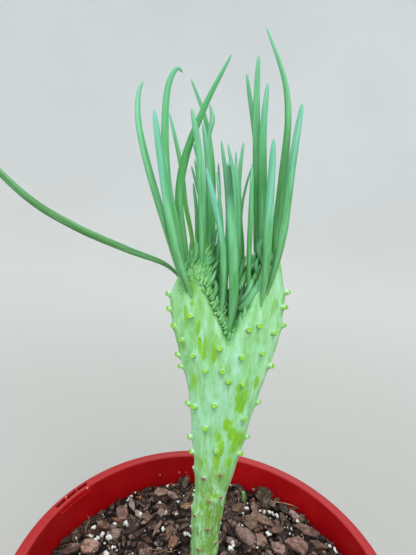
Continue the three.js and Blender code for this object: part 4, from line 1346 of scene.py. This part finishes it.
def crest_fringe(draws):
    """Rows of young leaves, one to five millimetres long, that cover the edge of the crest."""
    leaves = []
    for step in range(FRINGE_STEPS):
        for row in FRINGE_ROWS:
            across = FRINGE_FROM + FRINGE_SPAN * (step + draws(-0.5, 0.5)) / FRINGE_STEPS
            on_lobe = clamp((-across - 0.3) / 0.15)
            drop = draws(0.0002, 0.0014 + 0.0085 * on_lobe * (row == -1))
            root = fan_point(across, crest_height(across) - drop, row)
            tall = on_lobe * (drop < 0.003) * draws(0, 0.0055)
            length = draws(0.0016, 0.003) + tall
            way = (draws(0.1, 0.6), row * draws(0.1, 0.45) * (1 - 100 * tall), 1)
            colour_at = crest_leaf_colour(0.3 * (1 - on_lobe), draws(0.5, 1) * (0.4 + 0.6 * on_lobe),
                                          0.06 + 0.5 * (1 - on_lobe))
            leaves.append(young_leaf(root, way, length, draws(0.0007, 0.0012), colour_at))
    return leaves


def bank_leaves(draws):
    """Leaves in close ranks down the left bank of the notch, which lean over its edge to the right."""
    leaves = []
    for step in range(BANK_STEPS):
        for rank in range(BANK_RANKS):
            share = (step + draws(-0.5, 0.5)) / BANK_STEPS
            across = BANK_FROM + BANK_SPAN * share
            drop = 0.0004 + rank * draws(0.0009, 0.0013) * (1.1 - 0.6 * share)
            root = fan_point(across, crest_height(across) - drop, -1)
            length = draws(0.0034, 0.0054) * (1 - 0.35 * share) - 0.0003 * rank
            length += draws(0.0012, 0.0036) * (rank < 2) * (1 - share)
            way = (draws(0.6, 0.95), draws(-0.65, -0.35), draws(0.65, 1.1))
            colour_at = crest_leaf_colour(draws(0, 0.4), draws(0.2, 0.9),
                                          clamp((0.2 + 2.5 * share) * (0.95 - 0.1 * rank), 0, 0.95))
            width = draws(0.0008, 0.0012) + 0.06 * length * (rank < 2)
            leaves.append(young_leaf(root, way, length, width, colour_at, 0.5))
    return leaves


def back_row(draws):
    """Slender leaves behind the notch that close the gaps between the long ones."""
    leaves = []
    for step in range(BACK_STEPS):
        across = BACK_FROM + BACK_SPAN * (step + draws(-0.4, 0.4)) / BACK_STEPS
        root = fan_point(across, crest_height(across) - 0.003, draws(0.2, 0.9))
        way = (draws(0.05, 0.45), draws(-0.1, 0.2), 1)
        colour_at = crest_leaf_colour(draws(0.1, 0.7), draws(0, 0.4), 0.8)
        length, width = draws(0.01, 0.023), draws(0.0015, 0.0021)
        leaves.append(young_leaf(root, way, length, width, colour_at))
    return leaves


def make_sprout(material):
    """A short green shoot that comes up through the mix behind the stem."""
    bm = leaf_mesh([Vector(point) for point in SPROUT], 0.0028, 10, 10, lambda along, turn: SPROUT_GREEN)
    place_piece(object_from(bm, "sprout", material))


def make_spurs(material):
    """Pale dry points left by old leaves on the left edge of the lower stem."""
    draws = Draws(12)
    spurs = []
    for height in SPURS:
        root = fan_point(-0.97, height, -1) + Vector((0.0004, 0, 0))
        way = (-0.8, draws(-0.3, 0.1), draws(0.5, 1.0))
        spurs.append(young_leaf(root, way, draws(0.0014, 0.0024), 0.0012,
                                lambda along, turn: mixed(SPUR_FOOT, SPUR_TIP, along)))
    place_piece(object_from(joined(spurs), "dry_spurs", material))


def notch_comb(draws):
    """The smallest leaves, one above the other like the teeth of a comb, in the floor of the notch."""
    leaves = []
    for step in range(COMB_TEETH):
        share = step / (COMB_TEETH - 1)
        x = -0.0004 - 0.0014 * share
        height = COMB_FOOT + COMB_RISE * share
        reach = draws(0.0009, 0.0016)
        spine = [(x - 0.0026, -0.0036, height - 0.001), (x - 0.0006, -0.0052, height - 0.0004),
                 (x + reach, -0.0056, height + 0.0005)]
        colour_at = crest_leaf_colour(draws(0, 0.4), draws(0.1, 0.7), 0.8)
        leaves.append(leaf_mesh(raised(spine), 0.0011, 8, 6, colour_at, CREST_TAPER))
    return leaves


# Studio

def make_studio():
    """A pale floor that curves up into a pale wall all round."""
    wall_radius, bend, wall_height = 2.2, 0.9, 2.4
    profile = [(0, 0), (wall_radius - bend, 0)]
    profile += [(wall_radius - bend + bend * math.sin(a), bend - bend * math.cos(a))
                for a in (math.pi / 2 * step / 12 for step in range(1, 13))]
    profile.append((wall_radius, wall_height))
    bm = spun(profile, 96)
    bmesh.ops.reverse_faces(bm, faces=bm.faces)
    floor = object_from(bm, "studio_floor", backdrop_finish())


def add_area_light(name, place, target, size, power, colour):
    data = bpy.data.lights.new(name, "AREA")
    data.shape = "DISK"
    data.size = size
    data.energy = power
    data.color = colour
    light = new_object(name, data)
    light.location = place
    light.rotation_euler = (Vector(target) - Vector(place)).to_track_quat("-Z", "Y").to_euler()
    light.visible_camera = False


def make_lights():
    world = bpy.data.worlds.new("soft_sky")
    world.use_nodes = True
    background = world.node_tree.nodes["Background"]
    background.inputs["Color"].default_value = (0.93, 0.97, 1.0, 1)
    background.inputs["Strength"].default_value = 0.84
    bpy.context.scene.world = world
    plant = (0, 0, 0.25)
    add_area_light("key_light", (0.25, -0.9, 1.1), plant, 0.7, 10, (1.0, 0.99, 0.97))
    add_area_light("fill_light", (-0.8, -0.9, 0.55), plant, 0.9, 2.5, (0.97, 0.99, 1.0))
    add_area_light("top_light", (-0.35, 0.15, 1.4), plant, 0.9, 5, (0.96, 0.99, 1.0))
    add_area_light("back_light", (0.2, 0.9, 1.1), plant, 0.8, 3, (1.0, 1.0, 1.0))


def make_camera():
    data = bpy.data.cameras.new("photo_camera")
    data.sensor_width = SENSOR
    data.lens = SENSOR * FOCAL_PIXELS / IMAGE_LONG_SIDE
    data.clip_start, data.clip_end = 0.01, 20
    camera = new_object("photo_camera", data)
    looking = Euler((math.pi / 2 - EYE_PITCH, 0, 0)).to_matrix().to_4x4()
    camera.matrix_world = Matrix.Translation(EYE) @ looking @ Matrix.Rotation(EYE_ROLL, 4, "Z")
    bpy.context.scene.camera = camera


make_camera()
make_studio()
make_lights()
bpy.context.scene.view_settings.view_transform = "Standard"

leaf_material = leaf_finish()
make_pot(pot_finish())
make_soil_bed(soil_finish())
make_bark(bark_finish())
make_fibres(fibre_finish())
make_perlite(perlite_finish())
scars = nub_places()
make_stem_skin(stem_finish(), scars)
make_scars(scar_finish(), scars)
for leaf_name, (leaf_width, leaf_spine) in LEAVES.items():
    make_long_leaf(leaf_name, leaf_width, leaf_spine, leaf_material)
make_crest_leaves(leaf_material)
make_sprout(leaf_material)
make_spurs(leaf_material)
